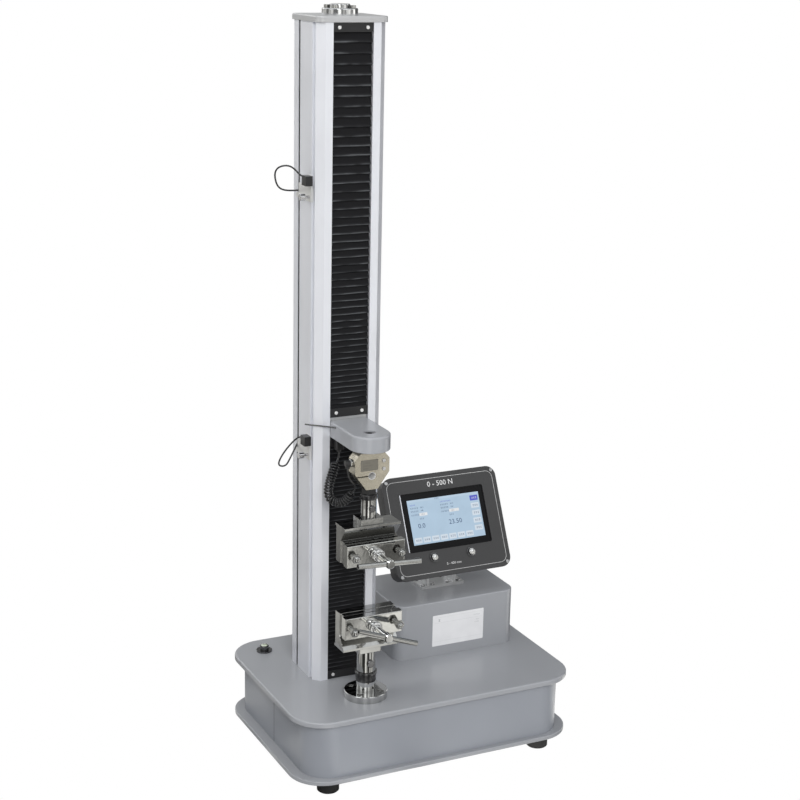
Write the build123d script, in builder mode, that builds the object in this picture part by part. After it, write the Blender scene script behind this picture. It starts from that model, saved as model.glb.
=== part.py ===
"""Single-column universal testing machine with two screw grips and a tilting panel.

Millimetres, +Z up, origin on the floor under the middle of the base.
The front of the machine faces -Y.
"""

import os
from math import cos, exp, radians, sin, sqrt, tan

from build123d import *

os.makedirs("parts", exist_ok=True)

# Clearances
SEAT = 0.3
RUN = 0.05
SLIDE = 0.1

# Base
BASE_X, BASE_Y, BASE_R = 560, 390, 66
FOOT_D, FOOT_TOP = 40, 26
FOOT_X, FOOT_Y = 216, 158
LOW_TOP = 34
SKIRT_TOP = 137
DECK = 147
SKIRT_X, SKIRT_Y, SKIRT_R = 521, 369, 55
SKIRT_WALL = 2
SEAM_Y, SEAM_GAP = -10.5, 0.8
SKIRT_BACK = SKIRT_Y / 2
INLET_X, SOCKET_Z = 120, 86
INLET_W, INLET_H = 48, 28
ROCKER_X, ROCKER_W, ROCKER_H = 190, 21, 14
ROCKER_PIVOT, ROCKER_LEAN = SKIRT_BACK - 3, 8
LEVEL_X, LEVEL_Y = -220, 141
LEVEL_D, LEVEL_VIAL, LEVEL_FLANGE, LEVEL_H = 30, 17, 3, 12

# Column
XC = -124
COL_HALF, COL_OPEN = 64, 37
COL_FRONT, COL_BACK = -27, 91
COL_MID = 32
COL_CORNER = 12.7
COL_TOP = 1334
GROOVE = (-14.3, -2.6)
GROOVE_DEPTH = 4
RIB_END, RIB_PROUD = 8.6, 0.8
SLOT_Y, SLOT_MOUTH, SLOT_WIDE = 55.5, 8, 14
SLOT_LIP, SLOT_DEPTH = 3, 9
CAP_T, CAP_OVER, CAP_R = 10, 2.5, 14
HUB_D, HUB_T, HUB_BOSS_D, HUB_BOSS_T = 62, 11, 35, 7
CAP_TOP = COL_TOP + CAP_T
HUB_TOP = CAP_TOP + HUB_T
BAR_BACK = -9
HUB_SCREW_R, CAP_SCREW_D, CAP_SCREW_H = 24, 10, 5

# Drive
ROD_D, ROD_U = 16, 26
SCREW_D, SCREW_LOW, HUB_ROOF, SCREW_ROOM = 20, 46, 3, 2
HUB_POCKET = HUB_TOP - HUB_ROOF
SCREW_HIGH = HUB_POCKET - SCREW_ROOM
PULLEY_LOW, PULLEY_HIGH = 50, 68
BIG_PULLEY_D, SMALL_PULLEY_D, RIM, RIM_T = 66, 33, 3, 2
MOTOR_X, MOTOR_W, MOTOR_LOW, MOTOR_R = 60, 80, 74, 8
SHAFT_IN = 20
MOTOR_SHAFT = 12
BELT_T, BELT_LOW, BELT_HIGH = 2, 51, 67
BEARING_W, BEARING_H = 70, 40

# Carriage and bellows
STRIP_FRONT, STRIP_BACK, FLAP_BACK = -26.2, -23.2, -22
PLATE_BACK = -16
CAR_LOW, CAR_HIGH, CAR_WEB, CAR_STEP = 596, 668, 30, 4
BLOCK_LOW, BLOCK_HIGH, BLOCK_FRONT, BLOCK_BACK = 590, 682, 10, 54
NUT_D, NUT_LOW, NUT_HIGH = 32, 600, 672
TOP_STRIP = (1318, 1333)
MOVE_HIGH = (650, 666)
MOVE_LOW = (596, 612)
BOTTOM_STRIP = (147.5, 163)
STRIP_HALF = 36.5
FOLD_FRONT, FOLD_BACK, FOLD_T = -24.4, -11, 1.0
PITCH_NEAR, PITCH_FAR, PITCH_LOW = 9.5, 19.0, 8.0

# Crosshead
YL = -114
ARM_LOW, ARM_TOP, ARM_HALF = 614.8, 644, 36.5
ARM_EDGE, ARM_UNDER = 4, 1.5
BOLT_HEAD, BOLT_D, BOLT_RECESS, BOLT_RING = 17, 12, 10, 21
BOLT_HEAD_H, BOLT_HEX_R, BOLT_HEX_DEEP = 8, 5, 5
TRIP_D, TRIP_Z, TRIP_DEEP = 3, 638.5, 8
TRIP_START, TRIP_END = (-160.5, -50), (-201.5, -9.8)
SPACER_D = 34
CELL_HALF, CELL_LOW, CELL_H = 33, 543, 67
CELL_TOP = CELL_LOW + CELL_H
CELL_DEPTH = 26
CELL_SHOULDER_H, CELL_WAIST_H, CELL_EYE_H = 55, 30, 25
CELL_TOP_HALF, CELL_LOW_HALF = 23, 11
CELL_EYE_D, CELL_SLIT = 14, 2
CELL_BOLT_IN, CELL_STUD_IN = 14, 9
PLUG_Z, PLUG_D, PLUG_OUT, PLUG_DOWN = 592, 11, 13, 583
BOX_X, BOX_Y, BOX_Z = (-154.5, -140.5), (-44, -29), (593.8, 614.8)
GLAND_D, GLAND_H = 8, 4

# Grips
STUD_UP_D, STUD_UP_LOW, NUT_UP_AF, NUT_UP_LOW = 16, 496, 24, 533
RING_UP_D, RING_UP = 32, (523.3, 532.7)
SHANK_UP_D, SHANK_UP = 28, (490, 523)
PIN_UP_D, PIN_UP_Z, PIN_UP_HEAD = 6, 508, 12
FLANGE_D, FLANGE_TOP, FLANGE_HUB_D, FLANGE_HUB_TOP = 79, 160, 35, 178
FLANGE_SCREW_R, FLANGE_RECESS_D, FLANGE_RECESS = 29, 11.5, 7
STUD_LOW_D, STUD_LOW_TOP = 20, 232
RING_LOW_D, RING_LIP_D, RING_LOW = 37, 40, (178.3, 197.2)
SHANK_LOW_D, SHANK_LOW = 35, (197.5, 237)
PIN_LOW_D, PIN_LOW_Z, PIN_LOW_HEAD = 8, 216, 14
NECK_X, NECK_Y = 44, 34
UP_FACE, LOW_FACE = 479, 247
NECK_UP_TOP, NECK_LOW_BASE = 490, 237
GRIP_HALF, PLATE_HALF_Y, PLATE_T = 54, 20, 4
ARM_Y, JAW_TOP_T, JAW_END_T, WEB_Y = 16, 27, 68, -2
FIX_FACE_Y, FIX_HALF = -14, 52
MOVE_HALF, MOVE_T, MOVE_THICK = 55.5, (27.5, 67.5), 15
GUIDE_U, GUIDE_T, GUIDE_D, GUIDE_OUT, GUIDE_IN = 43.6, 47, 10, -43, 6
SPINDLE_D, COLLAR_D, COLLAR_L, HEAD_D, HEAD_L = 12, 22, 12, 17, 14
SPINDLE_TIP = 4
CAP_NUT_AF, CAP_NUT_FLAT, CAP_NUT_DOME_R = 15, 4.5, 6.5
BAR_D, BAR_BORE, BAR_L = 10, 6.5, 120

# Console and panel
CON_X, CON_Y, CON_TOP, CON_R = (-11, 244), (-10, 160.5), 257, 24
CON_WALL = 3
FOOT_PLATE_X, FOOT_PLATE_Y, FOOT_PLATE_T = (73, 165), (55.6, 105.6), 5
CHEEK_X, CHEEK_T, LUG_GAP, LUG_T = 85, 5, 1, 6
PIVOT_Y, PIVOT_Z, PIVOT_D, PIVOT_R = 75, 330, 8, 14
LUG_ROOT, LUG_R, LUG_TANGENTS = (-25, -77), 10, ((-3, -9), (9, 3))
KNOB_D, KNOB_L = 18, 6
PANEL_X, PANEL_Y, PANEL_Z, PANEL_TILT = 116.5, 46, 401, 26
PANEL_W, PANEL_H, PANEL_DROP, PANEL_R = 244, 198, 9, 20
PANEL_T, HOUSING_T, HOUSING_IN = 4, 35, 3
GLASS_W, GLASS_H, GLASS_PROUD, GLASS_T = 174, 109, 0.4, 3.6
BUTTON_U, BUTTON_V, BUTTON_D, BEZEL_D = 40, -70, 13, 19
BUTTON_OUT, BUTTON_DEEP, BEZEL_T = 4.5, 14, 2

# Limit switches
LIM_UPPER, LIM_LOWER = 1060.6, 598
LIM_H, LIM_X, LIM_Y = 17, (-203.5, -191.2), (-13, 6)
TAB_X, TAB_LOW, TAB_Y, TAB_STEP = (-190.9, -189), -29, (-5, 50), 2
SWITCH_TAB_Y, HOOK_T, HOOK_GAP, PAD_EDGE = 12, 1.8, 2, 2
SLOT_NUT_H, SLOT_NUT_T, THUMB_STEM = 8, 4, 5
THUMB_DROP, THUMB_Y, THUMB_D, THUMB_X = 20.5, 2.5, 12, (-209, -199)
CABLE_D = 3

# Cords
LEAD_D, COIL_D, LEAD_RUN = 4, 19, 17


def upright(x, y, z0, z1, dia, mode=Mode.ADD):
    """A round bar or bore along Z."""
    with BuildSketch(Plane.XY.offset(z0)) as disc:
        with Locations((x, y)):
            Circle(dia / 2)
    extrude(disc.sketch, amount=z1 - z0, mode=mode)


def forward(x, z, y0, y1, dia, mode=Mode.ADD):
    """A round bar or bore along Y, from y0 at the front to y1 behind it."""
    with BuildSketch(Plane.XZ.offset(-y1)) as disc:
        with Locations((x, z)):
            Circle(dia / 2)
    extrude(disc.sketch, amount=y1 - y0, mode=mode)


def sideways(y, z, x0, x1, dia, mode=Mode.ADD):
    """A round bar or bore along X."""
    with BuildSketch(Plane.YZ.offset(x0)) as disc:
        with Locations((y, z)):
            Circle(dia / 2)
    extrude(disc.sketch, amount=x1 - x0, mode=mode)


def block(x, y, z, mode=Mode.ADD):
    """A box between two values on each axis."""
    with Locations(((x[0] + x[1]) / 2, (y[0] + y[1]) / 2, (z[0] + z[1]) / 2)):
        Box(x[1] - x[0], y[1] - y[0], z[1] - z[0], mode=mode)


def rounded(x, y, w, d, r, z0, z1, mode=Mode.ADD):
    """An upright block with rounded corners, centred on x, y."""
    with BuildSketch(Plane.XY.offset(z0)) as outline:
        with Locations((x, y)):
            RectangleRounded(w, d, r)
    extrude(outline.sketch, amount=z1 - z0, mode=mode)


def save(builder, label):
    """Name one sub-part and write its STEP file."""
    builder.part.label = label
    export_step(builder.part, f"parts/{label}.step")


# Feet
with BuildPart() as feet:
    for fx in (-FOOT_X, FOOT_X):
        for fy in (-FOOT_Y, FOOT_Y):
            upright(fx, fy, 0, FOOT_TOP, FOOT_D)
    chamfer(feet.edges().group_by(Axis.Z)[0], 1.5)
save(feet, "feet")

# Base plates
with BuildPart() as base_bottom_plate:
    rounded(0, 0, BASE_X, BASE_Y, BASE_R, FOOT_TOP, LOW_TOP)
    chamfer(base_bottom_plate.edges().group_by(Axis.Z)[0], 1)
    fillet(base_bottom_plate.edges().group_by(Axis.Z)[-1], 1.5)
save(base_bottom_plate, "base_bottom_plate")

with BuildPart() as base_top_plate:
    rounded(0, 0, BASE_X, BASE_Y, BASE_R, SKIRT_TOP, DECK)
    fillet(base_top_plate.edges().group_by(Axis.Z)[-1], 3)
    chamfer(base_top_plate.edges().group_by(Axis.Z)[0], 1)
    upright(XC, COL_MID, SKIRT_TOP, DECK, SCREW_D + 4, Mode.SUBTRACT)
save(base_top_plate, "base_top_plate")

# Skirt in two halves that meet at the sides
with BuildPart() as base_skirt:
    rounded(0, 0, SKIRT_X, SKIRT_Y, SKIRT_R, LOW_TOP, SKIRT_TOP)
    inner_x = SKIRT_X - 2 * SKIRT_WALL
    inner_y = SKIRT_Y - 2 * SKIRT_WALL
    inner_r = SKIRT_R - SKIRT_WALL
    rounded(0, 0, inner_x, inner_y, inner_r, LOW_TOP, SKIRT_TOP, Mode.SUBTRACT)
    seam = (SEAM_Y - SEAM_GAP / 2, SEAM_Y + SEAM_GAP / 2)
    block((-SKIRT_X, SKIRT_X), seam, (LOW_TOP, SKIRT_TOP), Mode.SUBTRACT)
    wall = (SKIRT_BACK - 2 * SKIRT_WALL, SKIRT_BACK + SKIRT_WALL)
    for cx, cw, ch in ((INLET_X, INLET_W, INLET_H), (ROCKER_X, ROCKER_W, ROCKER_H)):
        side = cw / 2 + SEAT
        rise = ch / 2 + SEAT
        high = (SOCKET_Z - rise, SOCKET_Z + rise)
        block((cx - side, cx + side), wall, high, Mode.SUBTRACT)
save(base_skirt, "base_skirt")

# Mains inlet with its recess and three pins
INLET_RIM = (INLET_W + 12, INLET_H + 4)
INLET_DEEP, WELL_DEEP, CORE_BACK, PIN_BACK = 24, 18, 6, 8
WELL_HALF, CORE_HALF = (14, 10), (11, 7)
PIN_HALF, PIN_HOLE_HALF = (1, 1.8), (1.8, 2.4)


def inlet_block(half, y_range, at=(0, 0), mode=Mode.ADD):
    """Block about the inlet's axis; half holds its half width and half height."""
    x, z = INLET_X + at[0], SOCKET_Z + at[1]
    block((x - half[0], x + half[0]), y_range, (z - half[1], z + half[1]), mode)


with BuildPart() as power_inlet:
    with BuildSketch(Plane.XZ.offset(-SKIRT_BACK)):
        with Locations((INLET_X, SOCKET_Z)):
            RectangleRounded(*INLET_RIM, 3)
    extrude(amount=-SKIRT_WALL)
    well = (SKIRT_BACK - WELL_DEEP, SKIRT_BACK + SKIRT_WALL + 1)
    inlet_block((INLET_W / 2, INLET_H / 2), (SKIRT_BACK - INLET_DEEP, SKIRT_BACK))
    inlet_block(WELL_HALF, well, mode=Mode.SUBTRACT)
    inlet_block(CORE_HALF, (well[0] - 1, SKIRT_BACK - CORE_BACK))
    for pin in ((-6, -3), (0, 3), (6, -3)):
        inlet_block(PIN_HOLE_HALF, well, pin, Mode.SUBTRACT)
        inlet_block(PIN_HALF, (well[0] - 1, SKIRT_BACK - PIN_BACK), pin)
save(power_inlet, "power_inlet")

# Rocker, rocking about a pin along X, with its frame
ROCKER_OPEN = (ROCKER_W - 2, ROCKER_H - 1)
ROCKER_RIM, ROCKER_DEEP, ROCKER_SIDE = 5, 16, 1.4
ROCKER_PROFILE = ((-6, -4), (-6, 4), (5.6, 5.4), (4.2, 0), (5.6, -5.4))

with BuildPart() as rocker_frame:
    with BuildSketch(Plane.XZ.offset(-SKIRT_BACK)):
        with Locations((ROCKER_X, SOCKET_Z)):
            RectangleRounded(ROCKER_W + ROCKER_RIM, ROCKER_H + ROCKER_RIM, 2)
            Rectangle(*ROCKER_OPEN, mode=Mode.SUBTRACT)
    extrude(amount=-SKIRT_WALL)
    with BuildSketch(Plane.XZ.offset(-SKIRT_BACK)):
        with Locations((ROCKER_X, SOCKET_Z)):
            Rectangle(ROCKER_W, ROCKER_H)
            Rectangle(*ROCKER_OPEN, mode=Mode.SUBTRACT)
    extrude(amount=ROCKER_DEEP)
save(rocker_frame, "rocker_frame")

with BuildPart() as power_rocker:
    with BuildSketch(Plane.YZ.offset(ROCKER_X - ROCKER_W / 2 + ROCKER_SIDE)):
        with Locations(Location((ROCKER_PIVOT, SOCKET_Z), -ROCKER_LEAN)):
            Polygon(*ROCKER_PROFILE, align=None)
    extrude(amount=ROCKER_W - 2 * ROCKER_SIDE)
save(power_rocker, "power_rocker")

# Round spirit level on the deck
with BuildPart() as bubble_level:
    upright(LEVEL_X, LEVEL_Y, DECK, DECK + LEVEL_FLANGE, LEVEL_D)
    upright(LEVEL_X, LEVEL_Y, DECK + LEVEL_FLANGE, DECK + LEVEL_H, LEVEL_VIAL)
    chamfer(bubble_level.edges().group_by(Axis.Z)[-1], 1.2)
save(bubble_level, "bubble_level")


def post_outline(s):
    """Outline of one column post, mirrored by s, with its groove, rib and T-slot."""
    mouth = (SLOT_Y - SLOT_MOUTH / 2, SLOT_Y + SLOT_MOUTH / 2)
    wide = (SLOT_Y - SLOT_WIDE / 2, SLOT_Y + SLOT_WIDE / 2)
    lip = COL_HALF - SLOT_LIP
    deep = COL_HALF - SLOT_DEPTH
    rib = COL_HALF + RIB_PROUD
    corner = COL_HALF - COL_CORNER
    groove = COL_HALF - GROOVE_DEPTH
    pts = [
        (COL_OPEN, COL_FRONT),
        (corner, COL_FRONT),
        (COL_HALF, COL_FRONT + COL_CORNER),
        (groove, GROOVE[0]),
        (groove, GROOVE[1]),
        (rib, GROOVE[1]),
        (rib, RIB_END),
        (COL_HALF, RIB_END),
        (COL_HALF, mouth[0]),
        (lip, mouth[0]),
        (lip, wide[0]),
        (deep, wide[0]),
        (deep, wide[1]),
        (lip, wide[1]),
        (lip, mouth[1]),
        (COL_HALF, mouth[1]),
        (COL_HALF, COL_BACK - COL_CORNER),
        (corner, COL_BACK),
        (COL_OPEN, COL_BACK),
    ]
    return [(XC + s * u, y) for u, y in pts]


CHAMBERS = (((40.5, 53), (-23.5, -5)), ((40.5, 56.5), (-1, 45)), ((40.5, 54), (66, 87)))


def post(s):
    """One column post: an extrusion with three hollow chambers."""
    with BuildPart() as builder:
        with BuildSketch(Plane.XY.offset(DECK)):
            Polygon(*post_outline(s), align=None)
            for (u0, u1), (y0, y1) in CHAMBERS:
                with Locations((XC + s * (u0 + u1) / 2, (y0 + y1) / 2)):
                    Rectangle(u1 - u0, y1 - y0, mode=Mode.SUBTRACT)
        extrude(amount=COL_TOP - DECK)
    return builder


save(post(-1), "column_left")
save(post(1), "column_right")

# Rear cover and the two cross bars that hold the fixed ends of the bellows
OPEN_X = (XC - COL_OPEN + SEAT, XC + COL_OPEN - SEAT)
COVER_T, COVER_INSET, COVER_FLANGE = 3, 1, 12
COVER_IN = COL_BACK - COVER_INSET - COVER_T
with BuildPart() as column_back:
    block(OPEN_X, (COVER_IN, COVER_IN + COVER_T), (DECK, COL_TOP))
    for u in (OPEN_X[0], OPEN_X[1] - COVER_T):
        block((u, u + COVER_T), (COVER_IN - COVER_FLANGE, COVER_IN), (DECK, COL_TOP))
    block(OPEN_X, (FLAP_BACK, BAR_BACK), (TOP_STRIP[0] + 1, COL_TOP))
    block(OPEN_X, (FLAP_BACK, BAR_BACK), (DECK, BOTTOM_STRIP[1] - 1))
save(column_back, "column_back")

# Cap and hub at the top of the column
with BuildPart() as column_cap:
    cap_w = 2 * (COL_HALF + CAP_OVER)
    cap_d = COL_BACK - COL_FRONT + 2 * CAP_OVER
    rounded(XC, COL_MID, cap_w, cap_d, CAP_R, COL_TOP, CAP_TOP)
    fillet(column_cap.edges().group_by(Axis.Z)[-1], 2)
    upright(XC, COL_MID, COL_TOP, CAP_TOP, SCREW_D + 2 * RUN, Mode.SUBTRACT)
save(column_cap, "column_cap")

with BuildPart() as top_hub:
    upright(XC, COL_MID, CAP_TOP, HUB_TOP, HUB_D)
    fillet(top_hub.edges().group_by(Axis.Z)[-1], 2)
    upright(XC, COL_MID, HUB_TOP, HUB_TOP + HUB_BOSS_T, HUB_BOSS_D)
    fillet(top_hub.edges().group_by(Axis.Z)[-1], 1.5)
    upright(XC, COL_MID, CAP_TOP, HUB_POCKET, SCREW_D + 2, Mode.SUBTRACT)
save(top_hub, "top_hub")

# Socket cap screws: four on the hub and four sunk in the lower flange
FLANGE_SEAT = FLANGE_TOP - FLANGE_RECESS
HEX_R, HEX_DEEP = 2.6, 3
with BuildPart() as cap_screws:
    for cx, cy, ring, z in ((XC, COL_MID, HUB_SCREW_R, HUB_TOP), (XC, YL, FLANGE_SCREW_R, FLANGE_SEAT)):
        with BuildSketch(Plane.XY.offset(z)):
            with Locations((cx, cy)):
                with PolarLocations(ring, 4, start_angle=45):
                    Circle(CAP_SCREW_D / 2)
        extrude(amount=CAP_SCREW_H)
        with BuildSketch(Plane.XY.offset(z + CAP_SCREW_H)):
            with Locations((cx, cy)):
                with PolarLocations(ring, 4, start_angle=45):
                    RegularPolygon(HEX_R, 6)
        extrude(amount=-HEX_DEEP, mode=Mode.SUBTRACT)
save(cap_screws, "cap_screws")

# Guide rods and ball screw with its pulley
with BuildPart() as guide_rods:
    for u in (-ROD_U, ROD_U):
        upright(XC + u, COL_MID, DECK, COL_TOP, ROD_D)
save(guide_rods, "guide_rods")


def pulley(x, dia):
    """A flat belt pulley with two rims."""
    upright(x, COL_MID, PULLEY_LOW, PULLEY_HIGH, dia)
    upright(x, COL_MID, PULLEY_LOW - RIM_T, PULLEY_LOW, dia + 2 * RIM)
    upright(x, COL_MID, PULLEY_HIGH, PULLEY_HIGH + RIM_T, dia + 2 * RIM)


with BuildPart() as ball_screw:
    upright(XC, COL_MID, SCREW_LOW, SCREW_HIGH, SCREW_D)
    pulley(XC, BIG_PULLEY_D)
save(ball_screw, "ball_screw")

with BuildPart() as motor_pulley:
    upright(MOTOR_X, COL_MID, SCREW_LOW, MOTOR_LOW + SHAFT_IN, MOTOR_SHAFT)
    pulley(MOTOR_X, SMALL_PULLEY_D)
save(motor_pulley, "motor_pulley")

# Motor and screw bearing, both hung from the deck
with BuildPart() as drive_motor:
    rounded(MOTOR_X, COL_MID, MOTOR_W, MOTOR_W, MOTOR_R, MOTOR_LOW, SKIRT_TOP)
    bore = MOTOR_SHAFT + 2 * RUN
    upright(MOTOR_X, COL_MID, MOTOR_LOW, MOTOR_LOW + SHAFT_IN + 2, bore, Mode.SUBTRACT)
    rounded(XC, COL_MID, BEARING_W, BEARING_W, MOTOR_R, SKIRT_TOP - BEARING_H, SKIRT_TOP)
    upright(XC, COL_MID, SKIRT_TOP - BEARING_H, SKIRT_TOP, SCREW_D + 2 * RUN, Mode.SUBTRACT)
save(drive_motor, "drive_motor")


def belt_loop(extra, mode):
    """The outline round both pulleys, standing off them by extra."""
    big = BIG_PULLEY_D / 2 + extra
    small = SMALL_PULLEY_D / 2 + extra
    lean = (big - small) / (MOTOR_X - XC)
    rise = sqrt(1 - lean * lean)
    for cx, r in ((XC, big), (MOTOR_X, small)):
        with Locations((cx, COL_MID)):
            Circle(r, mode=mode)
    corners = [
        (XC + big * lean, COL_MID + big * rise),
        (MOTOR_X + small * lean, COL_MID + small * rise),
        (MOTOR_X + small * lean, COL_MID - small * rise),
        (XC + big * lean, COL_MID - big * rise),
    ]
    Polygon(*corners, align=None, mode=mode)


with BuildPart() as drive_belt:
    with BuildSketch(Plane.XY.offset(BELT_LOW)):
        belt_loop(SEAT + BELT_T, Mode.ADD)
        belt_loop(SEAT, Mode.SUBTRACT)
    extrude(amount=BELT_HIGH - BELT_LOW)
save(drive_belt, "drive_belt")

# Bellows: pleats whose pitch grows away from the crosshead above it


def pleats(z_marks, flap_low, flap_high):
    """A folded strip through the z marks, with a flat flap at each end."""
    front = [(FOLD_FRONT if i % 2 else FOLD_BACK, z) for i, z in enumerate(z_marks)]
    line = [(FLAP_BACK, flap_low), (FLAP_BACK, z_marks[0])] + front[1:-1]
    line += [(FLAP_BACK, z_marks[-1]), (FLAP_BACK, flap_high)]
    back = [(y + FOLD_T, z) for y, z in reversed(line)]
    with BuildPart() as builder:
        with BuildSketch(Plane.YZ.offset(XC - STRIP_HALF + SEAT)):
            with Locations((-FOLD_T, 0)):
                Polygon(*line, *back, align=None)
        extrude(amount=2 * (STRIP_HALF - SEAT))
    return builder


GROWTH = (PITCH_FAR - PITCH_NEAR) / (TOP_STRIP[0] - MOVE_HIGH[1])


def upper_mark(i):
    """Height of fold i above the moving strip, where the pitch grows evenly with height."""
    return MOVE_HIGH[1] + PITCH_NEAR / GROWTH * (exp(GROWTH * i / 2) - 1)


upper_marks = [upper_mark(0)]
while upper_mark(len(upper_marks) + 1) < TOP_STRIP[0]:
    upper_marks.append(upper_mark(len(upper_marks)))
upper_marks.append(TOP_STRIP[0])
lower_count = round((MOVE_LOW[0] - BOTTOM_STRIP[1]) / PITCH_LOW * 2)
lower_step = (MOVE_LOW[0] - BOTTOM_STRIP[1]) / lower_count
lower_marks = [BOTTOM_STRIP[1] + lower_step * i for i in range(lower_count + 1)]
save(pleats(upper_marks, MOVE_HIGH[0], TOP_STRIP[1]), "bellows_upper")
save(pleats(lower_marks, BOTTOM_STRIP[0], MOVE_LOW[1]), "bellows_lower")


def strips(first, second):
    """Two clamping strips across the bellows."""
    with BuildPart() as builder:
        for z in (first, second):
            block((XC - STRIP_HALF, XC + STRIP_HALF), (STRIP_FRONT, STRIP_BACK), z)
    return builder


save(strips(BOTTOM_STRIP, TOP_STRIP), "strips_fixed")
save(strips(MOVE_LOW, MOVE_HIGH), "strips_moving")

# Carriage on the guide rods, with its ball nut
with BuildPart() as carriage:
    wide = (XC - STRIP_HALF, XC + STRIP_HALF)
    block(wide, (BLOCK_FRONT, BLOCK_BACK), (BLOCK_LOW, BLOCK_HIGH))
    web_z = (CAR_LOW + CAR_STEP, CAR_HIGH - CAR_STEP)
    block((XC - CAR_WEB, XC + CAR_WEB), (PLATE_BACK, BLOCK_FRONT), web_z)
    block(wide, (FLAP_BACK, PLATE_BACK), (CAR_LOW, CAR_HIGH))
    for u in (-ROD_U, ROD_U):
        upright(XC + u, COL_MID, BLOCK_LOW, BLOCK_HIGH, ROD_D + 2 * RUN, Mode.SUBTRACT)
    upright(XC, COL_MID, BLOCK_LOW, BLOCK_HIGH, NUT_D + 2 * RUN, Mode.SUBTRACT)
save(carriage, "carriage")

with BuildPart() as ball_nut:
    upright(XC, COL_MID, NUT_LOW, NUT_HIGH, NUT_D)
    chamfer(ball_nut.edges(), 1)
    upright(XC, COL_MID, NUT_LOW, NUT_HIGH, SCREW_D + 2 * RUN, Mode.SUBTRACT)
save(ball_nut, "ball_nut")

# Crosshead arm: straight sides and a round nose about the load axis
TRIP_LEAN = sqrt((TRIP_END[0] - TRIP_START[0]) ** 2 + (TRIP_END[1] - TRIP_START[1]) ** 2)
TRIP_DIR = ((TRIP_END[0] - TRIP_START[0]) / TRIP_LEAN, (TRIP_END[1] - TRIP_START[1]) / TRIP_LEAN)
TRIP_ROOT = Plane(
    origin=(TRIP_START[0] - TRIP_DEEP * TRIP_DIR[0], TRIP_START[1] - TRIP_DEEP * TRIP_DIR[1], TRIP_Z),
    z_dir=(TRIP_DIR[0], TRIP_DIR[1], 0),
)
with BuildPart() as crosshead_arm:
    with BuildSketch(Plane.XY.offset(ARM_LOW)):
        with Locations((XC, (FLAP_BACK + YL) / 2)):
            Rectangle(2 * ARM_HALF, FLAP_BACK - YL)
        with Locations((XC, YL)):
            Circle(ARM_HALF)
    extrude(amount=ARM_TOP - ARM_LOW)
    top_edges = crosshead_arm.edges().group_by(Axis.Z)[-1]
    fillet([e for e in top_edges if e.center().Y < FLAP_BACK - 1], ARM_EDGE)
    low_edges = crosshead_arm.edges().group_by(Axis.Z)[0]
    fillet([e for e in low_edges if e.center().Y < FLAP_BACK - 1], ARM_UNDER)
    upright(XC, YL, ARM_LOW, ARM_TOP, BOLT_D + 2 * SLIDE, Mode.SUBTRACT)
    upright(XC, YL, ARM_TOP - BOLT_RECESS, ARM_TOP, BOLT_RING, Mode.SUBTRACT)
    with BuildSketch(TRIP_ROOT):
        Circle(TRIP_D / 2 + RUN)
    extrude(amount=2 * TRIP_DEEP, mode=Mode.SUBTRACT)
save(crosshead_arm, "crosshead_arm")

# Arm screw, spacer and trip rod
with BuildPart() as crosshead_fasteners:
    head_seat = ARM_TOP - BOLT_RECESS
    upright(XC, YL, head_seat, head_seat + BOLT_HEAD_H, BOLT_HEAD)
    with BuildSketch(Plane.XY.offset(head_seat + BOLT_HEAD_H)):
        with Locations((XC, YL)):
            RegularPolygon(BOLT_HEX_R, 6)
    extrude(amount=-BOLT_HEX_DEEP, mode=Mode.SUBTRACT)
    upright(XC, YL, CELL_TOP - CELL_BOLT_IN, head_seat, BOLT_D)
    upright(XC, YL, CELL_TOP, ARM_LOW, SPACER_D)
    with BuildSketch(TRIP_ROOT):
        Circle(TRIP_D / 2)
    extrude(amount=TRIP_DEEP + TRIP_LEAN)
save(crosshead_fasteners, "crosshead_fasteners")

# Load cell: eight-sided, with a slit running in to a round eye
with BuildPart() as load_cell:
    with BuildSketch(Plane.XZ.offset(-(YL + CELL_DEPTH / 2))):
        right_side = [
            (CELL_TOP_HALF, CELL_TOP),
            (CELL_HALF, CELL_LOW + CELL_SHOULDER_H),
            (CELL_HALF, CELL_LOW + CELL_WAIST_H),
            (CELL_LOW_HALF, CELL_LOW),
        ]
        left_side = [(-u, z) for u, z in reversed(right_side)]
        Polygon(*[(XC + u, z) for u, z in right_side + left_side], align=None)
        with Locations((XC, CELL_LOW + CELL_EYE_H)):
            Circle(CELL_EYE_D / 2, mode=Mode.SUBTRACT)
        with Locations((XC - CELL_HALF / 2, CELL_LOW + CELL_EYE_H)):
            Rectangle(CELL_HALF, CELL_SLIT, mode=Mode.SUBTRACT)
    extrude(amount=CELL_DEPTH)
    chamfer(load_cell.edges().filter_by(Axis.Y).group_by(Axis.X)[-1], 0.8)
    bolt_end = CELL_TOP - CELL_BOLT_IN - 1
    stud_end = CELL_LOW + CELL_STUD_IN + 1
    upright(XC, YL, bolt_end, CELL_TOP, BOLT_D + 2 * SLIDE, Mode.SUBTRACT)
    upright(XC, YL, CELL_LOW, stud_end, STUD_UP_D + 2 * SLIDE, Mode.SUBTRACT)
save(load_cell, "load_cell")

# Stud and nut under the load cell
with BuildPart() as cell_stud:
    upright(XC, YL, STUD_UP_LOW, CELL_LOW + CELL_STUD_IN, STUD_UP_D)
    with BuildSketch(Plane.XY.offset(NUT_UP_LOW)):
        with Locations((XC, YL)):
            RegularPolygon(NUT_UP_AF / 2, 6, major_radius=False)
    extrude(amount=CELL_LOW - NUT_UP_LOW)
    forward(XC, PIN_UP_Z, YL - STUD_UP_D, YL + STUD_UP_D, PIN_UP_D + 2 * SLIDE, Mode.SUBTRACT)
save(cell_stud, "cell_stud")

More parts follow.
